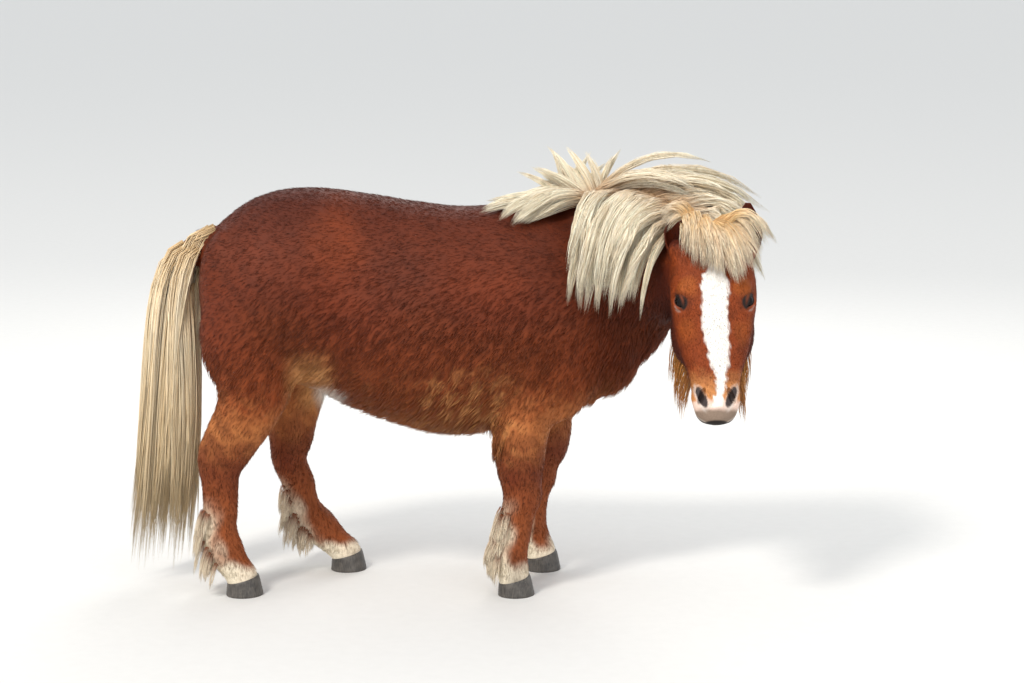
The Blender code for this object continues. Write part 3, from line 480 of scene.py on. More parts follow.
@dataclass
class Trunk:
    """Barrel, rump, breast, neck and the root of the tail."""

    croup: float = 1.000
    withers: float = 0.960
    half: float = 0.242

    def section(self, x: float, top: float, widest: float, bottom: float, width: float) -> Section:
        """One upright cross-section of the barrel."""
        return Section(Vector((x, 0.0, widest)), top - widest, widest - bottom, width * self.half, 0.08)

    def barrel(self) -> list[bmesh.types.BMesh]:
        """The barrel with the muscles of breast, shoulder, thigh and rump.

        Returns:
            Closed forms that overlap.
        """
        c, w = self.croup, self.withers
        rows = [
            (-0.612, 0.800, 0.740, 0.665, 0.26),
            (-0.596, 0.862, 0.740, 0.600, 0.52),
            (-0.552, 0.928, 0.740, 0.535, 0.76),
            (-0.470, c - 0.016, 0.735, 0.500, 0.92),
            (-0.370, c, 0.720, 0.500, 0.95),
            (-0.270, c - 0.010, 0.690, 0.478, 0.93),
            (-0.150, c - 0.032, 0.655, 0.428, 0.98),
            (-0.030, w - 0.008, 0.640, 0.392, 1.00),
            (0.080, w - 0.008, 0.645, 0.392, 0.95),
            (0.180, w, 0.660, 0.412, 0.87),
            (0.280, w - 0.020, 0.675, 0.440, 0.78),
            (0.370, w - 0.070, 0.680, 0.475, 0.67),
            (0.430, w - 0.150, 0.660, 0.515, 0.54),
            (0.466, w - 0.240, 0.630, 0.560, 0.30),
        ]
        forms = [loft([self.section(*row) for row in rows], UP)]
        forms.append(ellipsoid(Vector((0.338, 0.0, 0.600)), (0.122, 0.135, 0.128)))
        for side in Side:
            s = side.value
            forms += [
                ellipsoid(Vector((0.235, s * 0.118, 0.63)), (0.135, 0.078, 0.21)),
                ellipsoid(Vector((0.378, s * 0.056, 0.598)), (0.080, 0.062, 0.080)),
                ellipsoid(Vector((-0.482, s * 0.125, 0.65)), (0.124, 0.092, 0.19)),
                ellipsoid(Vector((-0.538, s * 0.092, 0.76)), (0.070, 0.088, 0.15)),
            ]
        return forms

    def neck(self) -> bmesh.types.BMesh:
        """The neck, which bends to the pony's right.

        Returns:
            The closed form.
        """
        rows = [
            ((0.150, 0.000, 0.690), 0.250, 0.210, 0.130, 0.25),
            ((0.270, -0.005, 0.725), 0.242, 0.235, 0.132, 0.25),
            ((0.370, -0.035, 0.775), 0.203, 0.225, 0.122, 0.25),
            ((0.460, -0.095, 0.815), 0.160, 0.180, 0.106, 0.22),
            ((0.528, -0.165, 0.822), 0.124, 0.145, 0.094, 0.18),
            ((0.568, -0.235, 0.815), 0.080, 0.115, 0.086, 0.10),
            ((0.580, -0.285, 0.810), 0.050, 0.085, 0.070, 0.00),
        ]
        return loft([Section(Vector(at), *rest) for at, *rest in rows], UP)

    def dock(self) -> bmesh.types.BMesh:
        """The fleshy root of the tail.

        Returns:
            The closed form.
        """
        rows = [
            ((-0.545, 0.0, 0.862), 0.040),
            ((-0.608, 0.0, 0.850), 0.036),
            ((-0.656, 0.0, 0.804), 0.032),
            ((-0.677, 0.0, 0.735), 0.029),
            ((-0.683, 0.0, 0.660), 0.024),
            ((-0.684, 0.0, 0.590), 0.014),
        ]
        return loft([Section(Vector(at), r, r, r * 1.1) for at, r in rows], Vector((-1.0, 0.0, 0.3)))


def leg_form(leg: Leg) -> bmesh.types.BMesh:
    """One leg from the body to inside the hoof: upper limb, joint, cannon, fetlock and pastern.

    Args:
        leg: How the leg stands.

    Returns:
        The closed form.
    """
    feet = leg.feet_y
    if leg.is_fore:
        rows = [
            (leg.top[0], 0.105, leg.top[1], 0.095, 0.105, 0.070),
            (0.5 * (leg.top[0] + leg.forearm), 0.122, 0.500, 0.085, 0.088, 0.068),
            (leg.forearm + 0.004, 0.130, 0.410, 0.073, 0.078, 0.064),
            (leg.forearm, 0.128, 0.330, 0.064, 0.068, 0.056),
            (leg.knee, 0.122, 0.285, 0.055, 0.056, 0.050),
            (leg.knee, feet, 0.250, 0.054, 0.050, 0.051),
            (leg.knee - 0.008, feet, 0.212, 0.044, 0.045, 0.042),
            (leg.cannon, feet, 0.165, 0.039, 0.044, 0.038),
            (leg.fetlock, feet, 0.120, 0.043, 0.048, 0.044),
            (0.5 * (leg.fetlock + leg.hoof), feet, 0.085, 0.041, 0.040, 0.041),
            (leg.hoof, feet, 0.055, 0.041, 0.040, 0.042),
            (leg.hoof + 0.004, feet, 0.024, 0.038, 0.036, 0.038),
        ]
    else:
        rows = [
            (leg.top[0], 0.115, leg.top[1], 0.130, 0.140, 0.080),
            (0.5 * (leg.top[0] + leg.forearm), 0.130, 0.570, 0.112, 0.120, 0.084),
            (leg.forearm, 0.132, 0.480, 0.088, 0.094, 0.072),
            (0.45 * leg.forearm + 0.55 * leg.knee, 0.128, 0.400, 0.070, 0.080, 0.060),
            (leg.knee, 0.123, 0.340, 0.060, 0.068, 0.051),
            (leg.knee - 0.006, feet, 0.295, 0.048, 0.052, 0.046),
            (0.6 * leg.cannon + 0.4 * leg.knee, feet, 0.235, 0.044, 0.047, 0.040),
            (leg.cannon, feet, 0.175, 0.042, 0.046, 0.039),
            (leg.fetlock, feet, 0.122, 0.046, 0.048, 0.045),
            (0.45 * leg.fetlock + 0.55 * leg.hoof, feet, 0.082, 0.040, 0.039, 0.040),
            (leg.hoof, feet, 0.055, 0.041, 0.040, 0.041),
            (leg.hoof + 0.004, feet, 0.024, 0.038, 0.036, 0.038),
        ]
    sections = [Section(Vector((x, leg.side.value * y, z)), f, b, w) for x, y, z, f, b, w in rows]
    return loft(sections, FORWARD)


@dataclass
class Skull:
    """The head's main forms."""

    length: float = 0.430

    def forms(self) -> list[bmesh.types.BMesh]:
        """Skull, cheeks, muzzle and chin.

        Returns:
            Closed forms that overlap.
        """
        rows = [
            (-0.006, 0.004, 0.060, 0.048, 0.0),
            (0.018, 0.032, 0.100, 0.074, 0.0),
            (0.056, 0.053, 0.125, 0.093, 0.0),
            (0.105, 0.064, 0.140, 0.102, 0.05),
            (0.160, 0.062, 0.148, 0.098, 0.12),
            (0.210, 0.054, 0.145, 0.090, 0.22),
            (0.255, 0.047, 0.118, 0.079, 0.25),
            (0.300, 0.041, 0.088, 0.066, 0.20),
            (0.340, 0.038, 0.072, 0.056, 0.12),
            (0.375, 0.036, 0.064, 0.053, 0.05),
            (0.405, 0.028, 0.056, 0.048, 0.0),
            (self.length - 0.006, 0.006, 0.034, 0.034, 0.0),
        ]
        made = [loft([Section(HEAD.point(d, 0.0), f, b, w, t) for d, f, b, w, t in rows], HEAD.out)]
        turn = HEAD.turn()
        made.append(ellipsoid(HEAD.point(0.398, -0.048), (0.028, 0.026, 0.026), turn))
        made.append(ellipsoid(HEAD.point(0.410, 0.004), (0.034, 0.026, 0.022), turn))
        for side in Side:
            s = side.value
            eye = Eye(side)
            made += [
                ellipsoid(HEAD.point(0.195, -0.075, s * 0.060), (0.038, 0.072, 0.080), turn),
                ellipsoid(HEAD.point(0.124, 0.036, s * 0.064), (0.024, 0.020, 0.026), turn),
                ellipsoid(eye.centre, (0.031, 0.035, 0.0155), eye.turn()),
                ellipsoid(EARS[side].root, (0.027, 0.026, 0.030), turn),
                ellipsoid(HEAD.point(0.366, 0.008, s * 0.036), (0.022, 0.026, 0.034), turn),
            ]
        return made


@dataclass
class Ear:
    """One ear: how far it leans out and forward, and which way it opens."""

    side: Side
    lean_out: float
    lean_forward: float
    opening: float
    length: float = 0.112
    half_width: float = 0.031
    wall: float = 0.0050

    @property
    def root(self) -> Vector:
        """Where the ear's middle line meets the skull."""
        return HEAD.point(0.024, 0.004, self.side.value * 0.078)

    @property
    def axis(self) -> Vector:
        """From the ear's root to its tip."""
        lean = HEAD.left * self.side.value * self.lean_out + HEAD.out * self.lean_forward
        return (lean - HEAD.down).normalized()

    @property
    def faces(self) -> Vector:
        """The direction in which the ear opens, square to its axis."""
        towards = HEAD.out * math.cos(self.opening) + HEAD.left * self.side.value * math.sin(self.opening)
        return (towards - self.axis * towards.dot(self.axis)).normalized()

    def form(self, rows: int = 28, columns: int = 24) -> bmesh.types.BMesh:
        """A curled leaf with a wall of even thickness, open to one side and closed at the tip.

        Args:
            rows: How many faces from root to tip.
            columns: How many faces across.

        Returns:
            The closed form.
        """
        axis, faces = self.axis, self.faces
        across = axis.cross(faces)
        base = self.root - axis * 0.004
        bm = bmesh.new()
        bmesh.ops.create_grid(bm, x_segments=columns, y_segments=rows, size=1.0)
        for vert in bm.verts:
            up = 0.5 * (vert.co.y + 1.0)
            half = self.half_width * (math.sin(math.pi * (0.20 + 0.78 * up)) ** 0.7) + 0.0015
            curl = math.radians(125 - 62 * up)
            radius = half / math.sin(min(curl, math.pi / 2))
            angle = curl * vert.co.x
            centre = base + axis * (self.length * up) + faces * (0.010 * math.sin(math.pi * up))
            vert.co = centre + (across * math.sin(angle) - faces * math.cos(angle)) * radius
        inner = bmesh.ops.duplicate(bm, geom=list(bm.faces))["geom"]
        inner_verts = [g for g in inner if isinstance(g, bmesh.types.BMVert)]
        for vert in inner_verts:
            up = max(0.0, min(1.0, (vert.co - base).dot(axis) / self.length))
            centre = base + axis * (self.length * up) + faces * (0.010 * math.sin(math.pi * up))
            away = vert.co - centre
            vert.co = centre + away.normalized() * max(away.length - self.wall * (1 - 0.6 * up), 0.0006)
        rims = [edge for edge in bm.edges if edge.is_boundary]
        bmesh.ops.bridge_loops(bm, edges=rims)
        bmesh.ops.recalc_face_normals(bm, faces=bm.faces)
        return bm


EARS = {
    Side.RIGHT: Ear(Side.RIGHT, -0.06, 0.26, math.radians(30)),
    Side.LEFT: Ear(Side.LEFT, 0.06, 0.22, math.radians(30)),
}


@dataclass
class Eye:
    """One eyeball with its lids."""

    side: Side
    radius: float = 0.0185
    white: Colour = (44, 30, 26)
    iris: Colour = (22, 11, 7)
    pupil: Colour = (4, 4, 5)

    @property
    def centre(self) -> Vector:
        """The middle of the eyeball."""
        return HEAD.point(0.150, 0.025, self.side.value * 0.070)

    @property
    def axes(self) -> tuple[Vector, Vector, Vector]:
        """The way the eye looks, the line from its outer to its inner corner, and its up direction.

        Returns:
            The three directions.
        """
        s = self.side.value
        look = (HEAD.left * s * 0.76 + HEAD.out * 0.65).normalized()
        slit = HEAD.down * 0.84 - HEAD.left * s * 0.30 + HEAD.out * 0.34
        slit = (slit - look * slit.dot(look)).normalized()
        rise = look.cross(slit)
        return look, slit, rise if rise.dot(HEAD.out) > 0 else -rise

    def turn(self) -> Matrix:
        """A rotation that takes Z to the way the eye looks and Y along its slit."""
        look, slit, rise = self.axes
        return Matrix((rise, slit, look)).transposed().to_4x4()

    def lid(self, lift: float, girth: float, steps: int = 26, sides: int = 14) -> bmesh.types.BMesh:
        """One eyelid: a tapered roll over the eyeball, from corner to corner.

        Args:
            lift: How far the lid's middle is turned up from the slit.
            girth: The roll's radius at its middle.
            steps: How many rings along the roll.
            sides: How many points on a ring.

        Returns:
            The closed form.
        """
        look, slit, rise = self.axes
        rows = []
        for i in range(steps + 1):
            turn = math.radians(82) * (2 * i / steps - 1)
            height = lift * math.cos(turn) ** 0.8
            ahead = look * math.cos(height) + rise * math.sin(height)
            towards = ahead * math.cos(turn) + slit * math.sin(turn)
            size = girth * (0.45 + 0.55 * math.cos(turn))
            rows.append(Section(self.centre + towards * (self.radius + 0.0008), size, size, size))
        return loft(rows, look, steps=1, sides=sides)

    def ball(self, material: bpy.types.Material) -> bpy.types.Object:
        """The eyeball, with a dark iris, a wide flat pupil and a clear rise over them.

        Args:
            material: The eye's finish.

        Returns:
            The eyeball.
        """
        look, slit, rise = (np.array(v) for v in self.axes)
        bm = ellipsoid(self.centre, (self.radius,) * 3, self.turn(), 64)
        obj = new_object("eyeball_" + self.side.name.lower(), bm)
        away = vertex_array(obj.data) - np.array(self.centre)
        towards = unit(away)
        wide, high = towards @ slit, towards @ rise
        front = towards @ look
        iris = smooth(0.30, 0.42, front)
        pupil = smooth(1.0, 0.7, np.hypot(wide / 0.50, high / 0.26)) * (front > 0)
        paint(obj.data, over(over(linear(*self.white), self.iris, iris), self.pupil, pupil))
        bulge = away * (1.0 + 0.05 * smooth(0.70, 0.98, front))[:, None]
        obj.data.vertices.foreach_set("co", (bulge + np.array(self.centre)).astype(np.float32).ravel())
        return finished(obj, material, ["eye_" + self.side.name.lower()])


@dataclass
class Skin:
    """The whole skin under the coat, as one closed surface with the face's features."""

    voxel: float = 0.0065
    smoothing: int = 21
    mouth_size: Place = (0.14, 0.150, 0.0018)
    sharp_angle: float = 0.55

    def coat_depth(self, at: np.ndarray) -> np.ndarray:
        """How far the skin lies under the coat's surface.

        Args:
            at: Places, one a row.

        Returns:
            The depth at each place.
        """
        down = HEAD.local(at)[0]
        depth = 0.0095 * smooth(0.10, 0.50, at[:, 2]) + 0.0020
        head = HEAD.share(at)
        depth = depth * (1 - head) + head * (0.0030 * smooth(0.38, 0.30, down) + 0.0002)
        for side in Side:
            eye = np.linalg.norm(at - np.array(Eye(side).centre), axis=1)
            ear = np.linalg.norm(at - np.array(EARS[side].root), axis=1)
            depth = depth * (0.1 + 0.9 * smooth(0.028, 0.055, eye)) * (0.2 + 0.8 * smooth(0.028, 0.055, ear))
        return depth * (0.3 + 0.7 * smooth(-0.61, -0.57, at[:, 0]))

    def nostril(self, side: Side) -> bmesh.types.BMesh:
        """A tall hollow whose lower end leans towards the mouth."""
        slant = Matrix.Rotation(side.value * math.radians(-20), 4, "Y")
        return ellipsoid(HEAD.nostril(side), (0.0078, 0.018, 0.0215), HEAD.turn() @ slant, 32)

    def mouth(self) -> bmesh.types.BMesh:
        """The mouth line: a thin wedge round the muzzle between the lips.

        Returns:
            The wedge, to be taken out of the skin.
        """
        start, along, up = HEAD.mouth
        bm = bmesh.new()
        bmesh.ops.create_cube(bm, size=1.0)
        frame = Matrix((along, HEAD.left, up)).transposed().to_4x4()
        size = Matrix.Diagonal((*self.mouth_size, 1.0))
        middle = Matrix.Translation(start + along * (self.mouth_size[0] / 2))
        bmesh.ops.transform(bm, matrix=middle @ frame @ size, verts=bm.verts)
        return bm

    def build(self) -> bpy.types.Object:
        """Melt the forms into one skin, sink it by the coat's depth and shape the face on it.

        Returns:
            The skin.
        """
        trunk = Trunk()
        forms = [*trunk.barrel(), trunk.neck(), trunk.dock(), *Skull().forms()]
        forms += [leg_form(leg) for leg in LEGS]
        skin = joined("skin", forms)
        remesh = skin.modifiers.new("melt", "REMESH")
        remesh.mode = "VOXEL"
        remesh.voxel_size = self.voxel
        soften = skin.modifiers.new("soften", "SMOOTH")
        soften.factor = 0.6
        soften.iterations = self.smoothing
        settled(skin)
        self.sink(skin)
        self.refine_head(skin)
        combine(skin, [ear.form() for ear in EARS.values()], "UNION")
        for side in Side:
            eye = Eye(side)
            combine(skin, [eye.lid(math.radians(42), 0.0064), eye.lid(math.radians(-38), 0.0056)], "UNION")
            radius = eye.radius + 0.0004
            combine(skin, [ellipsoid(eye.centre, (radius,) * 3, None, 48), self.nostril(side)], "DIFFERENCE")
        combine(skin, [self.mouth()], "DIFFERENCE")
        self.soften_seams(skin)
        return skin

    def sink(self, skin: bpy.types.Object) -> None:
        """Move the skin inwards by the coat's depth.

        Args:
            skin: The skin, which changes.
        """
        at, normals = vertex_array(skin.data), vertex_array(skin.data, "normal")
        at -= normals * self.coat_depth(at)[:, None]
        skin.data.vertices.foreach_set("co", at.astype(np.float32).ravel())
        skin.data.update()

    def refine_head(self, skin: bpy.types.Object) -> None:
        """Give the head a finer mesh than the body.

        Args:
            skin: The skin, which changes.
        """
        bm = bmesh.new()
        bm.from_mesh(skin.data)
        at = vertex_array(skin.data)
        chosen = HEAD.share(at) > 0.3
        bm.verts.ensure_lookup_table()
        edges = [e for e in bm.edges if chosen[e.verts[0].index] and chosen[e.verts[1].index]]
        bmesh.ops.subdivide_edges(bm, edges=edges, cuts=1, use_grid_fill=True, smooth=0.0)
        bmesh.ops.triangulate(bm, faces=bm.faces)
        bm.to_mesh(skin.data)
        bm.free()

    def soften_seams(self, skin: bpy.types.Object) -> None:
        """Round off the sharp lines where ears, lids and hollows meet the skull.

        Args:
            skin: The skin, which changes.
        """
        bm = bmesh.new()
        bm.from_mesh(skin.data)
        bmesh.ops.remove_doubles(bm, verts=bm.verts, dist=0.0001)
        for _ in range(3):
            sharp = {
                vert
                for edge in bm.edges
                if len(edge.link_faces) == 2 and edge.calc_face_angle(0.0) > self.sharp_angle
                for vert in edge.verts
            }
            near = {edge.other_vert(vert) for vert in sharp for edge in vert.link_edges} | sharp
            axes = {"use_axis_x": True, "use_axis_y": True, "use_axis_z": True}
            bmesh.ops.smooth_vert(bm, verts=list(near), factor=0.5, **axes)
        bm.to_mesh(skin.data)
        bm.free()


# Markings


@dataclass(frozen=True)
class Palette:
    """The coat's and hair's colours, as display values."""

    back: Colour = (70, 25, 9)
    side: Colour = (98, 39, 14)
    low_side: Colour = (124, 57, 22)
    belly: Colour = (176, 108, 58)
    gold: Colour = (208, 150, 92)
    orange: Colour = (150, 66, 24)
    face: Colour = (130, 56, 20)
    brow: Colour = (158, 80, 28)
    # Painted shade: the darker colour of the cheeks and jaw, which turn away from the light.
    shaded_cheek: Colour = (92, 34, 13)
    blaze: Colour = (244, 238, 230)
    nose: Colour = (206, 140, 82)
    pink: Colour = (234, 208, 194)
    muzzle: Colour = (116, 98, 82)
    rim: Colour = (206, 194, 184)
    nostril: Colour = (64, 54, 52)
    lip: Colour = (34, 26, 24)
    # Painted shade: the dark colour laid over the ears.
    ear: Colour = (70, 20, 9)
    lower_leg: Colour = (138, 70, 32)
    cream: Colour = (244, 230, 204)
    mane: Colour = (255, 246, 224)
    mane_shade: Colour = (228, 196, 146)
    mane_root: Colour = (196, 140, 84)
    forelock: Colour = (240, 204, 146)
    forelock_root: Colour = (190, 118, 56)
    tail: Colour = (250, 236, 208)
    tail_root: Colour = (222, 188, 140)
    tail_tip: Colour = (214, 190, 150)
    beard: Colour = (190, 132, 66)
    sock: Colour = (240, 224, 196)


# How far down the face, half the blaze's width there, and how far its middle lies to the left.
BLAZE = [
    (0.060, 0.000, 0.000),
    (0.090, 0.024, 0.000),
    (0.114, 0.031, 0.001),
    (0.150, 0.027, 0.000),
    (0.200, 0.029, -0.001),
    (0.237, 0.026, 0.003),
    (0.275, 0.024, 0.007),
    (0.300, 0.017, 0.010),
    (0.327, 0.010, 0.011),
    (0.360, 0.008, 0.008),
    (0.390, 0.010, 0.002),
]


@dataclass
class Markings:
    """Where each colour of the coat lies."""

    palette: Palette = field(default_factory=Palette)

    def colour(self, at: np.ndarray, normal: np.ndarray) -> np.ndarray:
        """The coat's colour at each place on the skin.

        Args:
            at: Places, one a row.
            normal: The skin's normal at each place.

        Returns:
            Scene-linear colours, one a row.
        """
        made = self.trunk(at)
        legs = smooth(0.44, 0.30, at[:, 2])
        made = mix(made, self.legs(at, normal), legs)
        return mix(made, self.head(at), HEAD.share(at, 0.02))

    def trunk(self, at: np.ndarray) -> np.ndarray:
        """Dark on top, lighter below, with golden streaks on flank and belly.

        Args:
            at: Places, one a row.

        Returns:
            Scene-linear colours, one a row.
        """
        p = self.palette
        x, y, z = at.T
        patch = waves(at, 0.22, 1)
        streak = waves(at, 0.022, 2, (2.4, 1.0, 1.6))
        made = mix(linear(*p.back), linear(*p.side), smooth(1.02, 0.80, z + 0.03 * patch))
        made = over(made, p.low_side, smooth(0.74, 0.50, z + 0.05 * patch))
        low = smooth(0.56, 0.42, z + 0.03 * patch + 0.03 * streak)
        made = over(made, p.belly, low * (0.55 + 0.35 * smooth(-0.2, 0.7, streak)))
        behind_elbow = smooth(0.16, 0.05, np.abs(x - 0.03)) * smooth(0.62, 0.50, z)
        made = over(made, p.gold, 0.5 * behind_elbow * smooth(0.0, 0.8, streak))
        fold = smooth(0.075, 0.02, np.abs(x + 0.335)) * smooth(0.64, 0.54, z) * smooth(0.40, 0.46, z)
        made = over(made, p.gold, 0.75 * fold)
        hip = smooth(0.10, 0.02, np.hypot(x + 0.275, (z - 0.885) * 0.8) + 0.02 * patch)
        made = over(made, p.orange, 0.25 * hip)
        white = smooth(0.07, 0.03, np.hypot(x + 0.295, z - 0.465)) * smooth(0.20, 0.12, np.abs(y))
        made = over(made, p.blaze, 0.8 * white)
        return made * (1.0 + 0.14 * patch + 0.10 * streak)[:, None]

    def legs(self, at: np.ndarray, normal: np.ndarray) -> np.ndarray:
        """Chestnut above, orange brown below, and cream behind the cannons and round the coronets.

        Args:
            at: Places, one a row.
            normal: The skin's normal at each place.

        Returns:
            Scene-linear colours, one a row.
        """
        p = self.palette
        z = at[:, 2]
        patch = waves(at, 0.07, 5)
        made = mix(linear(*p.side), linear(*p.lower_leg), smooth(0.36, 0.20, z + 0.03 * patch))
        behind = smooth(0.1, -0.6, normal[:, 0] + 0.25 * patch) * smooth(0.27, 0.16, z)
        made = over(made, p.sock, 0.95 * behind)
        made = over(made, p.cream, 0.85 * smooth(0.100, 0.070, z + 0.012 * patch))
        return made * (1.0 + 0.10 * patch)[:, None]

    def head(self, at: np.ndarray) -> np.ndarray:
        """Red chestnut with a white blaze, a pale nose, grey nostrils and dark lids, and painted shade on the
        cheeks, over the ears and above the eyes.

        Args:
            at: Places, one a row.

        Returns:
            Scene-linear colours, one a row.
        """
        p = self.palette
        down, out, _ = HEAD.local(at)
        patch = waves(at, 0.05, 7)
        streak = waves(at, 0.012, 8, (1.0, 1.0, 3.0))
        # Painted shade: darker towards the cheeks and jaw, behind the front of the face.
        made = mix(linear(*p.face), linear(*p.shaded_cheek), smooth(0.020, -0.035, out + 0.012 * patch))
        for side in Side:
            brow = np.linalg.norm(at - np.array(HEAD.point(0.118, 0.050, side.value * 0.062)), axis=1)
            made = over(made, p.brow, 0.8 * smooth(0.034, 0.012, brow + 0.006 * patch))
            below = np.linalg.norm(at - np.array(HEAD.point(0.215, 0.030, side.value * 0.070)), axis=1)
            made = over(made, p.brow, 0.45 * smooth(0.040, 0.015, below + 0.008 * patch))
        made *= (1.0 + 0.10 * patch + 0.06 * streak)[:, None]
        made = self.nose(made, at)
        for side in Side:
            made = self.around_eye(made, at, side)
            # Painted shade: each ear darkened, as the shadow in and behind it.
            ear = np.linalg.norm(at - np.array(EARS[side].root + EARS[side].axis * 0.06), axis=1)
            made = over(made, p.ear, 0.75 * smooth(0.075, 0.045, ear) * smooth(0.035, 0.010, down))
        return made

    def nose(self, made: np.ndarray, at: np.ndarray) -> np.ndarray:
        """The blaze, the pale nose, the nostrils' rims and the lips, laid over the face's colour.

        Args:
            made: The colours so far, one a row.
            at: Places, one a row.

        Returns:
            Scene-linear colours, one a row.
        """
        p = self.palette
        down, out, left = HEAD.local(at)
        patch = waves(at, 0.030, 9)
        streak = waves(at, 0.008, 10, (1.0, 1.0, 3.0))
        pale = smooth(0.302, 0.368, down + 0.25 * np.abs(left) + 0.006 * patch)
        made = over(made, p.nose, 0.80 * pale)
        made = over(made, p.pink, smooth(0.372, 0.384, down + 0.003 * patch) * 0.85)
        keys, halves, middles = zip(*BLAZE)
        half, middle = np.interp(down, keys, halves), np.interp(down, keys, middles)
        edge = np.abs(left - middle) - half + 0.0030 * streak + 0.002 * patch
        blaze = smooth(0.0045, -0.0035, edge) * smooth(0.0, 0.02, out) * smooth(0.396, 0.386, down)
        made = over(made, p.blaze, blaze)
        made = over(made, p.muzzle, 0.9 * smooth(0.390, 0.402, down + 0.002 * patch))
        made = over(made, p.muzzle, 0.8 * smooth(0.335, 0.365, down) * smooth(0.012, -0.020, out))
        for side in Side:
            away = at - np.array(HEAD.nostril(side))
            low = away @ np.array(HEAD.down)
            wide = away @ np.array(HEAD.left) * side.value + 0.36 * low
            near = np.hypot(wide / 0.0098, low / 0.0235) + 0.15 * (np.abs(away @ np.array(HEAD.out)) / 0.020)
            outer = smooth(-0.002, 0.006, wide) * smooth(1.75, 1.30, near)
            made = over(made, p.rim, 0.7 * np.maximum(outer, 0.5 * smooth(1.5, 1.2, near)))
            made = over(made, p.nostril, smooth(1.14, 0.98, near))
        start, _, square = HEAD.mouth
        mouth = np.abs((at - np.array(start)) @ np.array(square))
        made = over(made, p.rim, 0.45 * smooth(0.013, 0.008, mouth) * smooth(0.385, 0.40, down))
        made = over(made, p.lip, smooth(0.0065, 0.0030, mouth) * smooth(0.335, 0.35, down))
        return over(made, p.lip, smooth(0.4215, 0.4245, down + 0.12 * out))

    def around_eye(self, made: np.ndarray, at: np.ndarray, side: Side) -> np.ndarray:
        """Painted shade above the eye, a near-black upper lid and a pale grey strip at the inner end of the
        lower one.

        Args:
            made: The colours so far, one a row.
            at: Places, one a row.
            side: Which side of the pony.

        Returns:
            Scene-linear colours, one a row.
        """
        p = self.palette
        eye = Eye(side)
        _, slit, rise = (np.array(axis) for axis in eye.axes)
        away = at - np.array(eye.centre)
        near = np.linalg.norm(away, axis=1)
        high, along = away @ rise, away @ slit
        # Painted shade: the skin round the upper half of the eye darkened to 70 per cent, as the shadow under
        # the brow.
        made = mix(made, made * 0.70, smooth(0.038, 0.027, near) * smooth(-0.004, 0.008, high))
        made = over(made, p.lip, smooth(0.0270, 0.0235, near) * smooth(-0.008, 0.002, high))
        pale = smooth(0.0265, 0.0240, near) * smooth(-0.008, -0.011, high) * smooth(0.002, 0.010, along)
        made = over(made, p.rim, 0.30 * pale)
        return over(made, p.lip, smooth(0.0212, 0.0200, near))


# Coat


@dataclass
class Unwrap:
    """Where each place on the skin lies on a flat unwrap of the pony, one tile for each part of the body."""

    def places(self, at: np.ndarray) -> np.ndarray:
        """Flat places between 0 and 1.

        Args:
            at: Places, one a row.

        Returns:
            The flat places, one a row.
        """
        x, y, z = at.T
        turn = np.arctan2(y, z - 0.68) / (2 * math.pi) + 0.5
        flat = np.stack([0.02 + 0.46 * turn, 0.02 + 0.58 * (x + 0.75) / 1.45], axis=1)
        tail = smooth(-0.60, -0.62, x) > 0.5
        turn = np.arctan2(y, x + 0.68) / (2 * math.pi) + 0.5
        flat[tail] = np.stack([0.52 + 0.44 * turn, 0.34 + 0.24 * z / 0.9], axis=1)[tail]
        down, out, left = HEAD.local(at)
        head = HEAD.share(at) > 0.5
        turn = np.arctan2(left, out + 0.03) / (2 * math.pi) + 0.5
        flat[head] = np.stack([0.52 + 0.44 * turn, 0.02 + 0.28 * (down + 0.16) / 0.62], axis=1)[head]
        for i, leg in enumerate(LEGS):
            near = np.abs(x - leg.centre_x(z)) < 0.14
            own = (z < 0.44) & (y * leg.side.value > 0) & ((x > -0.1) == leg.is_fore) & near
            turn = np.arctan2(y - leg.y, x - leg.centre_x(z)) / (2 * math.pi) + 0.5
            flat[own] = np.stack([0.01 + 0.25 * i + 0.22 * turn, 0.64 + 0.33 * z / 0.46], axis=1)[own]
        return np.clip(flat, 0.003, 0.997)


UNWRAP = Unwrap()


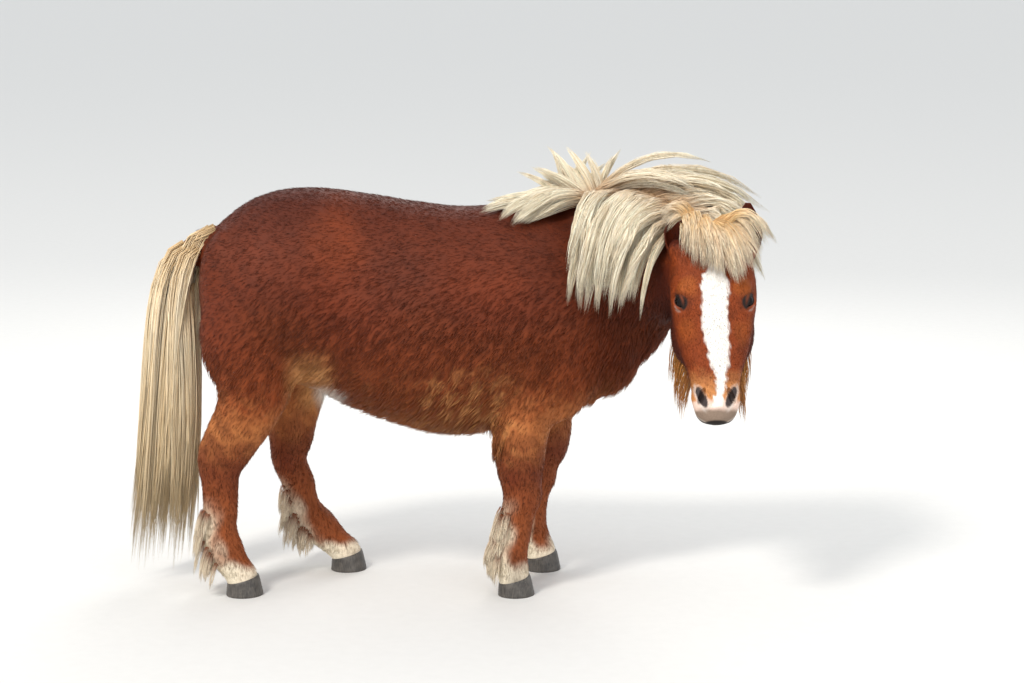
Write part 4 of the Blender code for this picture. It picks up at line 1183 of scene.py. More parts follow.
def strands(
    name: str,
    paths: np.ndarray,
    flat: np.ndarray,
    widths: np.ndarray,
    colours: np.ndarray,
    roots: np.ndarray,
    thickness: float = 0.55,
) -> bpy.types.Object:
    """Closed tapered strands with a three-sided section, as one mesh.

    Args:
        name: The piece's name.
        paths: Points along each strand, as an array of strand, point and coordinate. The last is the tip.
        flat: The way that each strand's flat side faces, one row for each strand.
        widths: How wide each strand is at each point but the tip.
        colours: A colour for each point of each strand.
        roots: The place on the skin that each strand belongs to, for its patch of the bake.
        thickness: How thick a strand is for its width.

    Returns:
        The object.
    """
    count, points, _ = paths.shape
    rings = points - 1
    along = np.empty_like(paths)
    along[:, 1:-1] = paths[:, 2:] - paths[:, :-2]
    along[:, 0] = paths[:, 1] - paths[:, 0]
    along[:, -1] = paths[:, -1] - paths[:, -2]
    along = unit(along)
    facing = unit(flat[:, None, :] - along * np.sum(flat[:, None, :] * along, axis=2, keepdims=True))
    side = np.cross(along, facing)
    half = 0.5 * widths[:, :, None]
    thick = widths[:, :, None] * thickness
    ring = paths[:, :rings]
    corners = np.stack([
        ring + side[:, :rings] * half - facing[:, :rings] * thick * 0.3,
        ring + facing[:, :rings] * thick * 0.7,
        ring - side[:, :rings] * half - facing[:, :rings] * thick * 0.3,
    ], axis=2)
    each = rings * 3 + 1
    verts = np.concatenate([corners.reshape(count, rings * 3, 3), paths[:, -1:]], axis=1).reshape(-1, 3)
    quads = []
    for r in range(rings - 1):
        for k in range(3):
            n = (k + 1) % 3
            quads.append((r * 3 + k, r * 3 + n, r * 3 + 3 + n, r * 3 + 3 + k))
    top = (rings - 1) * 3
    triangles = [(2, 1, 0)] + [(top + k, top + (k + 1) % 3, top + 3) for k in range(3)]
    starts = (np.arange(count) * each)[:, None]
    pattern = [corner for quad in quads for corner in quad] + [corner for tri in triangles for corner in tri]
    loops = (starts + np.array(pattern)[None, :]).ravel()
    totals = np.tile([4] * len(quads) + [3] * len(triangles), count)
    mesh = bpy.data.meshes.new(name)
    mesh.vertices.add(len(verts))
    mesh.vertices.foreach_set("co", verts.astype(np.float32).ravel())
    mesh.loops.add(len(loops))
    mesh.loops.foreach_set("vertex_index", loops.astype(np.int32))
    mesh.polygons.add(len(totals))
    mesh.polygons.foreach_set("loop_start", np.concatenate([[0], np.cumsum(totals)[:-1]]).astype(np.int32))
    mesh.update(calc_edges=True)
    ring_colours = np.repeat(colours[:, :rings], 3, axis=1)
    paint(mesh, np.concatenate([ring_colours, colours[:, -1:]], axis=1).reshape(-1, 3))
    home = UNWRAP.places(roots)
    angle = np.tile([0.0, 2.094, 4.189], rings)
    size = 0.0015 * (1.0 - 0.7 * np.repeat(np.arange(rings) / rings, 3))
    shift = np.concatenate([np.stack([np.cos(angle), np.sin(angle)], axis=1) * size[:, None], [[0.0, 0.0]]])
    patch = (home[:, None, :] + shift[None, :, :]).reshape(-1, 2)
    layer = mesh.uv_layers.new(name=BAKE_LAYER)
    layer.data.foreach_set("uv", patch[loops].astype(np.float32).ravel())
    obj = bpy.data.objects.new(name, mesh)
    bpy.context.scene.collection.objects.link(obj)
    return obj


def lifted(lie: np.ndarray, normals: np.ndarray, angle: np.ndarray) -> np.ndarray:
    """Directions along the skin, each turned up from it by an angle."""
    return lie * np.cos(angle)[:, None] + normals * np.sin(angle)[:, None]


@dataclass
class Coat:
    """The short and the shaggy coat: thousands of tapered tufts that lie along the body."""

    skin: bpy.types.Object
    markings: Markings
    material: bpy.types.Material
    tufts: int = 124000
    most_faces: int = 190000
    long_from: float = 0.0265
    root_depth: float = 0.0012
    clump: int = 5
    seed: int = 4

    def density(self, at: np.ndarray) -> np.ndarray:
        """How closely the tufts stand, compared with the barrel's side.

        Args:
            at: Places, one a row.

        Returns:
            The density at each place.
        """
        down, _, left = HEAD.local(at)
        head = HEAD.share(at)
        made = 1.0 + 0.5 * smooth(0.45, 0.25, at[:, 2])
        made = made * (1 - head) + head * (4.6 * smooth(0.385, 0.350, down + 0.25 * np.abs(left)))
        for side in Side:
            near = np.linalg.norm(at - np.array(Eye(side).centre), axis=1)
            made *= smooth(0.023, 0.030, near)
        made *= 1 - 0.999 * smooth(-0.605, -0.620, at[:, 0])
        return made * smooth(0.060, 0.070, at[:, 2])

    def length(self, at: np.ndarray) -> np.ndarray:
        """How long the tufts are.

        Args:
            at: Places, one a row.

        Returns:
            The length at each place.
        """
        x, _, z = at.T
        down, out, _ = HEAD.local(at)
        belly = smooth(-0.36, -0.27, x) * smooth(0.16, 0.07, x) * smooth(0.335, 0.385, z)
        made = 0.015 + 0.011 * smooth(0.92, 0.62, z) + 0.028 * belly * smooth(0.56, 0.42, z)
        made += 0.016 * smooth(0.30, 0.42, x) * smooth(0.85, 0.65, z)
        rump = smooth(-0.38, -0.52, x) * smooth(0.55, 0.75, z)
        made = made * (1 - rump) + 0.014 * rump
        legs = smooth(0.56, 0.40, z) * (1 - belly) * smooth(0.36, 0.30, x)
        made = made * (1 - legs) + 0.014 * legs
        head = HEAD.share(at)
        face = 0.0082 + 0.012 * smooth(-0.01, -0.09, out) + 0.004 * smooth(0.06, 0.0, down)
        return made * (1 - head) + face * head

    def lie(self, at: np.ndarray) -> np.ndarray:
        """Which way the coat lies, before it is laid flat on the skin.

        Args:
            at: Places, one a row.

        Returns:
            Directions, one a row and not of length one.
        """
        x, y, z = at.T
        fall = 0.20 + 1.1 * smooth(0.90, 0.50, z)
        made = np.stack([np.full(len(at), -1.0), np.zeros(len(at)), -fall], axis=1)
        breast = smooth(0.28, 0.42, x) * smooth(0.92, 0.75, z)
        made = mix(made, np.array([-0.25, 0.0, -1.0]), breast)
        neck = smooth(0.25, 0.40, x) * smooth(0.62, 0.75, z)
        made = mix(made, np.array([-0.55, 0.25, -0.85]), neck)
        legs = smooth(0.50, 0.38, z)
        made = mix(made, np.array([-0.18, 0.0, -1.0]), legs * (np.abs(y) > 0.03))
        out = HEAD.local(at)[1]
        jaw = 0.5 * smooth(0.02, -0.08, out)
        face = np.array(HEAD.down) - np.array(HEAD.out) * jaw[:, None]
        made = mix(made, face, HEAD.share(at))
        swirl = np.stack([waves(at, 0.16, seed) for seed in (31, 32, 33)], axis=1)
        fine = np.stack([waves(at, 0.035, seed) for seed in (34, 35, 36)], axis=1)
        calm = 1.0 - 0.7 * HEAD.share(at)
        return made + (0.16 * swirl + 0.20 * fine) * calm[:, None]

    def roots(self) -> tuple[np.ndarray, np.ndarray]:
        """Random places on the skin and the skin's normals there.

        Returns:
            The places and the normals, one a row.
        """
        mesh = self.skin.data
        mesh.calc_loop_triangles()
        corners = np.empty(len(mesh.loop_triangles) * 3, dtype=np.int32)
        mesh.loop_triangles.foreach_get("vertices", corners)
        corners = corners.reshape(-1, 3)
        at, normals = vertex_array(mesh), vertex_array(mesh, "normal")
        a, b, c = (at[corners[:, i]] for i in range(3))
        area = np.linalg.norm(np.cross(b - a, c - a), axis=1)
        weight = area * self.density((a + b + c) / 3)
        dice = np.random.default_rng(self.seed)
        picked = dice.choice(len(corners), size=self.tufts, p=weight / weight.sum())
        u, v = dice.random(self.tufts), dice.random(self.tufts)
        flip = u + v > 1
        u[flip], v[flip] = 1 - u[flip], 1 - v[flip]
        shares = np.stack([1 - u - v, u, v], axis=1)
        places = sum(at[corners[picked, i]] * shares[:, i : i + 1] for i in range(3))
        facing = unit(sum(normals[corners[picked, i]] * shares[:, i : i + 1] for i in range(3)))
        return places, facing

    def build(self) -> list[bpy.types.Object]:
        """Grow the tufts and split them into pieces, from the tail forwards.

        Returns:
            The pieces.
        """
        roots, normals = self.roots()
        dice = np.random.default_rng(self.seed + 1)
        count = len(roots)
        length = self.length(roots) * dice.uniform(0.75, 1.2, count)
        lie = self.lie(roots)
        lie = unit(lie - normals * np.sum(lie * normals, axis=1, keepdims=True))
        head = HEAD.share(roots)
        rise = np.radians(dice.uniform(9, 24, count)) * (1 - 0.25 * head)
        shaggy = smooth(0.018, 0.036, length)
        half = (0.5 * length)[:, None]
        middle = roots + lifted(lie, normals, rise) * half
        droop = np.radians(dice.uniform(-2, 10, count))
        tip = middle + lifted(lie, normals, droop) * half
        tip[:, 2] -= 0.10 * length * shaggy
        tip = self.clumped(roots, tip, shaggy, head)
        width = (0.0014 + 0.0007 * shaggy) * dice.uniform(0.7, 1.3, count) * (1 - 0.28 * head)
        widths = np.stack([width, width * 0.8], axis=1)
        base = roots - normals * self.root_depth
        paths = np.stack([base, middle, tip], axis=1)
        shade = 1.0 + dice.uniform(-1.0, 1.0, count) * (0.15 + 0.22 * head)
        tone = self.markings.colour(roots, normals) * shade[:, None]
        calm = (0.35 * head)[:, None]
        dark, light = 0.76 + 0.24 * calm, 1.17 - 0.17 * calm
        colours = np.stack([tone * dark, tone, tone * light], axis=1)
        pieces = []
        is_long = length > self.long_from
        for kind, own, ends in (("shaggy", is_long, [0, 1, 2]), ("short", ~is_long, [0, 2])):
            mine = np.flatnonzero(own)
            mine = mine[np.argsort(roots[mine, 0], kind="stable")]
            faces_each = 10 if kind == "shaggy" else 4
            parts = math.ceil(len(mine) * faces_each / self.most_faces)
            for i, part in enumerate(np.array_split(mine, parts)):
                name = f"coat_{kind}_{i + 1}"
                rows = np.ix_(part, ends)
                thin = widths[part][:, : len(ends) - 1]
                obj = strands(name, paths[rows], normals[part], thin, colours[rows], roots[part])
                pieces.append(finished(obj, self.material, []))
        return pieces

    def clumped(
        self, roots: np.ndarray, tips: np.ndarray, shaggy: np.ndarray, head: np.ndarray
    ) -> np.ndarray:
        """Draw the tips of neighbours together, more where the coat is long and less on the head.

        Args:
            roots: The tufts' roots.
            tips: The tufts' tips.
            shaggy: How shaggy the coat is at each tuft, from 0 to 1.
            head: How far each tuft is on the head, from 0 to 1.

        Returns:
            The tips' new places.
        """
        centres = roots[:: self.clump]
        centre_tips = tips[:: self.clump]
        tree = KDTree(len(centres))
        for i, place in enumerate(centres):
            tree.insert(Vector(place), i)
        tree.balance()
        nearest = np.array([tree.find(Vector(place))[1] for place in roots])
        pull = ((0.16 + 0.40 * shaggy) * (1 - 0.60 * head))[:, None]
        reach = centre_tips[nearest] - tips
        limit = np.linalg.norm(tips - roots, axis=1, keepdims=True) * 0.45
        size = np.linalg.norm(reach, axis=1, keepdims=True)
        return tips + reach * np.minimum(1.0, limit / np.maximum(size, 1e-6)) * pull


# Long hair


@dataclass
class Guide:
    """One lock's middle line, before it falls: where it starts, which way, and its size."""

    root: Vector
    heading: Vector
    length: float
    width: float
    droop: float
    lift: float


@dataclass
class LongHair:
    """Hair in locks: every lock is a bundle of strands along a guide that falls over the body."""

    name: str
    slot: str
    nodes: list[str]
    tree: BVHTree
    material: bpy.types.Material
    steps: int = 8
    per_guide: int = 70
    strand_width: float = 0.0024
    bundle_depth: float = 0.012
    seed: int = 1

    def fallen(self, guide: Guide) -> tuple[np.ndarray, np.ndarray]:
        """Let a guide bend down and slide over the body.

        Args:
            guide: The lock's middle line.

        Returns:
            The places along it, and the body's normals there.
        """
        heading = guide.heading.normalized()
        at = guide.root.copy()
        places, normals = [at.copy()], [self.tree.find_nearest(at)[1]]
        stride = guide.length / self.steps
        for _ in range(self.steps):
            heading = (heading - UP * guide.droop * 5.0 / self.steps).normalized()
            before = at
            at = at + heading * stride
            nearest, normal, _, distance = self.tree.find_nearest(at)
            if (at - nearest).dot(normal) < 0 or distance < guide.lift:
                at = nearest + normal * guide.lift
                heading = (at - before).normalized()
            at.z = max(at.z, FLOOR + 0.006)
            places.append(at.copy())
            normals.append(normal)
        return np.array(places), np.array(normals)

    def bundle(
        self, places: np.ndarray, normals: np.ndarray, width: float, dice: np.random.Generator
    ) -> tuple[np.ndarray, np.ndarray]:
        """Strands along one guide, which spread at its middle and come together at its tip.

        Args:
            places: The places along the guide.
            normals: The way out of the body at each place.
            width: How wide the lock is.
            dice: A random generator.

        Returns:
            The strands' paths, and the way each faces.
        """
        last = len(places) - 1
        along = unit(np.gradient(places, axis=0))
        facing = unit(normals - along * np.sum(normals * along, axis=1, keepdims=True))
        side = np.cross(along, facing)
        count = self.per_guide
        ends = dice.uniform(0.72, 1.0, count)
        t = np.linspace(0.0, 1.0, last + 1)[None, :] * ends[:, None] * last
        low = np.minimum(t.astype(int), last - 1)
        share = (t - low)[:, :, None]

        def along_guide(values: np.ndarray) -> np.ndarray:
            """A value of the guide at each point of each strand."""
            return values[low] * (1 - share) + values[low + 1] * share

        profile = np.interp(t / last, [0.0, 0.25, 0.6, 0.85, 1.0], [0.80, 1.0, 0.85, 0.50, 0.12])
        aside = dice.uniform(-1.0, 1.0, count)[:, None] * profile * width * 0.5
        above = dice.uniform(-0.2, 1.0, count)[:, None] * profile * self.bundle_depth
        turns = dice.uniform(0, FULL_TURN, count)[:, None] + t * dice.uniform(0.5, 1.1, count)[:, None]
        wave = np.sin(turns) * 0.0036 * (t / last)
        paths = along_guide(places) + along_guide(side) * (aside + wave)[:, :, None]
        paths = paths + along_guide(facing) * above[:, :, None]
        faces = along_guide(facing)[:, last // 2] + dice.normal(size=(count, 3)) * 0.35
        return paths, unit(faces)

    def build(self, guides: list[Guide], tone: Tone, pieces: int = 1) -> list[bpy.types.Object]:
        """Make the pieces.

        Args:
            guides: The locks' middle lines.
            tone: A function from each strand's path and a random generator to its colours along it.
            pieces: How many meshes the strands are split into.

        Returns:
            The pieces.
        """
        dice = np.random.default_rng(self.seed)
        made = []
        for guide in guides:
            places, normals = self.fallen(guide)
            paths, faces = self.bundle(places, normals, guide.width, dice)
            roots = np.repeat(np.array(guide.root)[None, :], len(paths), axis=0)
            made.append((paths, faces, roots))
        return self.meshes(made, tone, pieces, dice)

    def meshes(
        self, made: list[Bundle], tone: Tone, pieces: int, dice: np.random.Generator
    ) -> list[bpy.types.Object]:
        """Turn bundles into meshes.

        Args:
            made: Paths, facings and roots for each bundle.
            tone: A function from paths and a random generator to colours.
            pieces: How many meshes the bundles are split into.
            dice: A random generator.

        Returns:
            The pieces.
        """
        objects = []
        nodes = self.nodes
        for i, part in enumerate(np.array_split(np.arange(len(made)), pieces)):
            paths, faces, roots = (np.concatenate([made[k][j] for k in part]) for j in range(3))
            paths[:, :, 2] = np.maximum(paths[:, :, 2], FLOOR + 0.004)
            count, points, _ = paths.shape
            share = np.arange(points - 1) / (points - 1)
            taper = np.interp(share, [0.0, 0.3, 0.8, 1.0], [0.8, 1.0, 0.75, 0.4])
            widths = self.strand_width * dice.uniform(0.6, 1.3, count)[:, None] * taper[None, :]
            name = self.name if pieces == 1 else f"{self.name}_{i + 1}"
            obj = strands(name, paths, faces, widths, tone(paths, dice), roots)
            objects.append(finished(obj, self.material, nodes))
            nodes = []
        return objects


CREST = [(0.232, -0.002), (0.300, -0.012), (0.370, -0.038), (0.450, -0.090), (0.515, -0.155), (0.552, -0.205)]


def on_crest(share: float, tree: BVHTree) -> tuple[Vector, Vector]:
    """A place on top of the neck, from the withers (0) to the poll (1), and the crest's direction there.

    Args:
        share: How far along the crest.
        tree: The skin's surface, for looking up places on it.

    Returns:
        The place and the direction.
    """
    where = min(max(share, 0.0), 0.999) * (len(CREST) - 1)
    low = int(where)
    a, b = Vector(CREST[low]), Vector(CREST[low + 1])
    x, y = a.lerp(b, where - low)
    hit = tree.ray_cast(Vector((x, y, 1.4)), -UP)[0]
    along = (b - a).normalized()
    return hit, Vector((along.x, along.y, 0.0))


def raised(turn: float) -> Vector:
    """The way straight ahead, turned up by an angle."""
    return FORWARD * math.cos(turn) + UP * math.sin(turn)


def arc(start: np.ndarray, rise: np.ndarray, fall: np.ndarray, end: np.ndarray, steps: int) -> np.ndarray:
    """Places along a smooth arc.

    Args:
        start: Where it starts.
        rise: The place that it first heads for.
        fall: The place that it comes from at its end.
        end: Where it ends.
        steps: How many steps it has.

    Returns:
        The places, one a row.
    """
    t = np.linspace(0.0, 1.0, steps + 1)[:, None]
    return start * (1 - t) ** 3 + rise * 3 * t * (1 - t) ** 2 + fall * 3 * t * t * (1 - t) + end * t**3


def hair_tone(root: Colour, middle: Colour, tip: Colour, other: Colour, blend: float) -> Tone:
    """A colouring for strands: three tones along them, and a second colour that some turn to.

    Args:
        root: Display colour at the root.
        middle: Display colour half way.
        tip: Display colour at the tip.
        other: The second colour.
        blend: How far a strand may turn to it, from 0 to 1.

    Returns:
        A function from paths and a random generator to colours.
    """
    keys = np.array([linear(*root), linear(*middle), linear(*tip)])

    def tone(paths: np.ndarray, dice: np.random.Generator) -> np.ndarray:
        """The colours of each strand, from its root to its tip.

        Args:
            paths: The strands' paths.
            dice: A random generator.

        Returns:
            A colour for each point of each strand.
        """
        count, points, _ = paths.shape
        share = np.linspace(0.0, 1.0, points)
        along = np.stack([np.interp(share, [0.0, 0.45, 1.0], keys[:, k]) for k in range(3)], axis=1)
        colours = np.repeat(along[None], count, axis=0)
        turn = (dice.random(count) ** 1.6 * blend)[:, None, None]
        colours = colours * (1 - turn) + linear(*other)[None, None, :] * turn
        return colours * dice.uniform(0.82, 1.12, count)[:, None, None]

    return tone


@dataclass
class Mane:
    """The mane: down the near side from the parting, and up and over to the far side."""

    tree: BVHTree
    material: bpy.types.Material
    palette: Palette
    whorl: float = 0.29
    poll_locks: int = 22
    seed: int = 21

    def near_side(self) -> list[Guide]:
        """Guides that fall down the neck's right side.

        Returns:
            The guides.
        """
        dice = np.random.default_rng(self.seed)
        guides = []
        layers = ((0.008, 1.0, 22), (0.020, 0.98, 22), (0.034, 0.90, 20))
        for layer, (lift, reach, count) in enumerate(layers):
            for i in range(count):
                share = self.whorl + (1 - self.whorl) * (i + 0.3 * layer) / count
                root, along = on_crest(share, self.tree)
                right = Vector((along.y, -along.x, 0.0))
                heading = right + UP * (0.45 + 0.45 * layer) + along * dice.uniform(-0.25, 0.20)
                length = reach * (0.285 + 0.075 * math.sin(math.pi * (share - self.whorl) / (1 - self.whorl)))
                length *= dice.uniform(0.74, 1.12)
                guides.append(Guide(root, heading, length, 0.027, 0.62, lift))
        for i in range(30):
            share = self.whorl * (0.2 + 0.9 * dice.random())
            root, along = on_crest(share, self.tree)
            right = Vector((along.y, -along.x, 0.0))
            heading = right * dice.uniform(0.1, 0.9) - along * dice.uniform(0.8, 1.2)
            heading += UP * dice.uniform(0.25, 0.55)
            length = dice.uniform(0.15, 0.215)
            guides.append(Guide(root, heading, length, 0.034, 0.26, 0.008 + 0.02 * dice.random()))
        return guides

    def far_side(self) -> list[Guide]:
        """Guides that rise from the crest and fan out, backwards at the withers and forwards at the poll.

        Returns:
            The guides.
        """
        dice = np.random.default_rng(self.seed + 1)
        guides = []
        layers = ((26, 0.96, 26), (38, 1.04, 28), (50, 1.0, 24))
        for layer, (steep, reach, count) in enumerate(layers):
            for i in range(count):
                share = self.whorl * 0.8 + (1 - self.whorl * 0.8) * (i + 0.3 * layer) / count
                root, along = on_crest(share, self.tree)
                turn = math.radians(steep * (1.24 - 0.48 * share) + dice.uniform(-10, 10))
                heading = raised(turn) - LEFTWARD * dice.uniform(-0.25, 0.45)
                length = reach * max(0.17, 0.86 * (0.745 - root.x) + 0.07) * dice.uniform(0.80, 1.06)
                guides.append(Guide(root, heading, length, 0.036, 0.24 + 0.16 * share, 0.012))
        for i in range(26):
            share = self.whorl * (0.35 + 0.9 * dice.random())
            root, along = on_crest(share, self.tree)
            turn = math.radians(dice.uniform(62, 168))
            left = Vector((-along.y, along.x, 0.0))
            heading = raised(turn) + left * dice.uniform(-0.1, 0.3)
            guides.append(Guide(root, heading, dice.uniform(0.10, 0.165), 0.020, 0.10, 0.010))
        for _ in range(self.poll_locks):
            root, along = on_crest(0.80 + 0.20 * dice.random(), self.tree)
            heading = UP * dice.uniform(0.6, 1.0) + FORWARD * dice.uniform(0.5, 1.2)
            heading += HEAD.out * dice.uniform(0.0, 0.6)
            guides.append(Guide(root, heading, dice.uniform(0.17, 0.26), 0.030, 0.42, 0.014))
        return guides

    def build(self) -> list[bpy.types.Object]:
        """Both sides of the mane.

        Returns:
            The pieces.
        """
        p = self.palette
        tone = hair_tone(p.mane_root, p.mane, p.mane, p.mane_shade, 0.55)
        worn = ("chestnut_coat", [], self.tree, self.material)
        near = LongHair("mane_near", *worn, 6, 74, 0.0016, 0.014, self.seed)
        far = LongHair("mane_far", *worn, 5, 76, 0.0017, 0.014, self.seed + 5)
        return near.build(self.near_side(), tone, 2) + far.build(self.far_side(), tone, 2)


@dataclass
class Forelock:
    """The forelock, from between the ears down the brow."""

    tree: BVHTree
    material: bpy.types.Material
    palette: Palette
    brow_locks: int = 72
    ear_locks: int = 9
    seed: int = 31

    def root(self, down: float, left: float) -> Vector:
        """A place on the crown of the skull."""
        return self.tree.ray_cast(HEAD.point(down, 0.12, left), -HEAD.out)[0]

    def end(self, down: float, left: float, lift: float) -> Vector:
        """A place that far above the face, or beside it where there is no face below.

        Args:
            down: How far down the face.
            left: How far to the pony's left.
            lift: How far above the face.

        Returns:
            The place.
        """
        hit = self.tree.ray_cast(HEAD.point(down, 0.30, left), -HEAD.out)[0]
        if hit is None or HEAD.local(np.array(hit)[None, :])[1][0] < 0.02:
            return HEAD.point(down, 0.035 + lift, left)
        return hit + HEAD.out * lift

    def arcs(self) -> list[tuple[Vector, Vector, Vector, Vector]]:
        """Arcs that rise between the ears and fall over the brow, the left ear and the right ear's tip.

        Returns:
            For each arc its start, the two places that shape it, and its end.
        """
        dice = np.random.default_rng(self.seed)
        made = []
        for i in range(self.brow_locks):
            share = ((i * 23) % self.brow_locks + 0.5) / self.brow_locks
            left = float(np.interp(share, [0.0, 0.25, 0.6, 0.8, 1.0], [-0.078, -0.032, 0.055, 0.096, 0.132]))
            down = float(np.interp(share, [0.0, 0.25, 0.6, 0.8, 1.0], [0.040, 0.092, 0.118, 0.078, 0.005]))
            back = 0.012 + 0.024 * dice.random()
            root = self.root(back, -0.046 + 0.036 * share + dice.uniform(-0.010, 0.010))
            low = 0.02 + (down - 0.02) * dice.uniform(0.72, 1.14)
            across = left + dice.uniform(-0.010, 0.010)
            end = self.end(low, across, dice.uniform(0.008, 0.034))
            aside = HEAD.left * (0.34 * left)
            rise = UP * dice.uniform(0.085, 0.150) * (1.0 - 0.32 * share)
            crest = root + rise + aside + HEAD.out * dice.uniform(0.0, 0.030)
            brow = end + UP * dice.uniform(0.060, 0.095) + HEAD.out * dice.uniform(0.015, 0.040) - aside * 0.8
            made.append((root, crest, brow, end))
        for _ in range(self.ear_locks):
            root = self.root(0.014 + 0.012 * dice.random(), -0.050 + 0.020 * dice.random())
            down, out = dice.uniform(-0.045, -0.005), dice.uniform(0.035, 0.060)
            end = HEAD.point(down, out, dice.uniform(-0.125, -0.098))
            crest = root + UP * dice.uniform(0.075, 0.110) + HEAD.out * 0.020
            made.append((root, crest, end + UP * 0.045 + HEAD.out * 0.015 + HEAD.left * 0.02, end))
        return made

    def build(self) -> list[bpy.types.Object]:
        """The forelock as one piece.

        Returns:
            The piece, in a list.
        """
        p = self.palette
        tone = hair_tone(p.forelock_root, p.forelock, p.mane, p.forelock_root, 0.40)
        worn = ("chestnut_coat", [], self.tree, self.material)
        hair = LongHair("forelock", *worn, 7, 46, 0.0016, 0.009, self.seed)
        dice = np.random.default_rng(self.seed + 1)
        made = []
        for corners in self.arcs():
            places = arc(*(np.array(corner) for corner in corners), hair.steps)
            normals = np.repeat(np.array(HEAD.out * 0.8 + UP * 0.6)[None, :], len(places), axis=0)
            paths, faces = hair.bundle(places, normals, 0.023, dice)
            made.append((paths, faces, np.repeat(places[:1], len(paths), axis=0)))
        return hair.meshes(made, tone, 1, dice)


@dataclass
class Beard:
    """Sparse long hair along the edge of each jaw."""

    tree: BVHTree
    material: bpy.types.Material
    palette: Palette
    seed: int = 41

    def guides(self) -> list[Guide]:
        """Guides that hang from the jaw.

        Returns:
            The guides.
        """
        dice = np.random.default_rng(self.seed)
        guides = []
        for side in Side:
            for i in range(16):
                down = 0.150 + 0.150 * (i + 0.5) / 16
                start = HEAD.point(down, -0.25, side.value * (0.056 - 0.014 * i / 16))
                hit = self.tree.ray_cast(start, HEAD.out)[0]
                heading = HEAD.left * side.value * 0.70 - HEAD.out * 0.3 - UP * 0.7
                length = (0.150 - 0.035 * i / 16) * dice.uniform(0.75, 1.15)
                guides.append(Guide(hit, heading, length, 0.022, 0.6, 0.003))
        return guides

    def build(self) -> list[bpy.types.Object]:
        """The beard as one piece.

        Returns:
            The piece, in a list.
        """
        p = self.palette
        # The beard's roots start in the cheeks' painted shade colour.
        tone = hair_tone(p.shaded_cheek, p.beard, p.beard, p.orange, 0.6)
        worn = ("chestnut_coat", [], self.tree, self.material)
        hair = LongHair("beard", *worn, 5, 22, 0.0012, 0.008, self.seed)
        return hair.build(self.guides(), tone)


# How many locks each ring of the tail has, between which heights they start, and how far they spread.
TAIL_RINGS = [(26, 0.888, 0.74, 1.0), (20, 0.78, 0.66, 0.86), (16, 0.70, 0.60, 0.6), (10, 0.64, 0.58, 0.3)]
# The dock's middle: its X at each height.
DOCK_HEIGHTS = [0.59, 0.66, 0.735, 0.804, 0.85, 0.89]
DOCK_PLACES = [-0.684, -0.683, -0.677, -0.656, -0.612, -0.565]


@dataclass
class Tail:
    """The tail: long hair from all round the dock to just above the floor."""

    tree: BVHTree
    material: bpy.types.Material
    palette: Palette
    middle: Place = (-0.668, 0.0, 0.500)
    tip: Place = (-0.722, 0.0, FLOOR + 0.022)
    dock_reach: float = 0.055
    seed: int = 51

    def bundles(self, hair: LongHair) -> list[Bundle]:
        """Strands along smooth arcs from the dock past the tail's middle to its end.

        Args:
            hair: The hair whose strands are made.

        Returns:
            Paths, facings and roots for each bundle.
        """
        dice = np.random.default_rng(self.seed)
        made = []
        for ring, (count, top, low, spread) in enumerate(TAIL_RINGS):
            for i in range(count):
                turn = 2 * math.pi * (i + 0.37 * ring) / count + dice.uniform(-0.1, 0.1)
                height = dice.uniform(low, top)
                away = np.array([math.cos(turn), math.sin(turn), 0.0])
                core = Vector((np.interp(height, DOCK_HEIGHTS, DOCK_PLACES), 0.0, height))
                hit = self.tree.ray_cast(core + Vector(away) * 0.12, -Vector(away))[0]
                if hit is None or (hit - core).length > self.dock_reach:
                    hit = core + Vector(away) * 0.6 * self.dock_reach
                root = np.array(hit)
                wide = np.array([0.070, 0.058, 0.0]) * spread
                middle = np.array(self.middle) + away * wide
                end = np.array(self.tip) + away * np.array([0.072, 0.046, 0.0]) * spread
                end += np.array([dice.uniform(-0.018, 0.018), 0.0, dice.uniform(0.0, 0.14)])
                high = float(np.interp(height, [0.74, 0.80, 0.87], [0.0, 0.6, 1.0]))
                first = root + np.array([-0.10 * high, 0.0, 0.015 * high - 0.10 * (1 - high)])
                places = arc(root, first, middle, end, hair.steps)
                normals = np.repeat(away[None, :], hair.steps + 1, axis=0)
                paths, faces = hair.bundle(places, normals, 0.034, dice)
                made.append((paths, faces, np.repeat(root[None, :], len(paths), axis=0)))
        return made

    def build(self) -> list[bpy.types.Object]:
        """The tail in two pieces.

        Returns:
            The pieces.
        """
        p = self.palette
        tone = hair_tone(p.tail_root, p.tail, p.tail_tip, p.mane_shade, 0.6)
        worn = ("flaxen_hair", ["tail"], self.tree, self.material)
        hair = LongHair("tail_hair", *worn, 7, 76, 0.0021, 0.014, self.seed)
        made = self.bundles(hair)
        return hair.meshes(made, tone, 2, np.random.default_rng(self.seed + 1))


@dataclass
class Feather:
    """The long hair behind one fetlock and up the back of the cannon."""

    leg: Leg
    tree: BVHTree
    material: bpy.types.Material
    palette: Palette
    locks: int = 44

    def build(self) -> list[bpy.types.Object]:
        """One leg's feather.

        Returns:
            The piece, in a list.
        """
        leg = self.leg
        seed = 60 + LEGS.index(leg)
        dice = np.random.default_rng(seed)
        guides = []
        for _ in range(self.locks):
            height = 0.095 + 0.135 * dice.random() ** 1.3
            away = Vector((-1.0, dice.uniform(-1.15, 1.15), 0.0)).normalized()
            core = Vector((float(leg.centre_x(height)), leg.y, height))
            hit = self.tree.ray_cast(core + away * 0.12, -away)[0]
            heading = away * dice.uniform(0.25, 0.60) - UP * 0.9
            length = dice.uniform(0.055, 0.095) * (0.75 if height < 0.12 else 1.0)
            guides.append(Guide(hit, heading, length, 0.016, 0.22, 0.003))
        p = self.palette
        tone = hair_tone(p.lower_leg, p.sock, p.cream, p.lower_leg, 0.35)
        worn = ("chestnut_coat", [], self.tree, self.material)
        hair = LongHair("feather_" + leg.name, *worn, 5, 24, 0.0012, 0.010, seed)
        return hair.build(guides, tone)


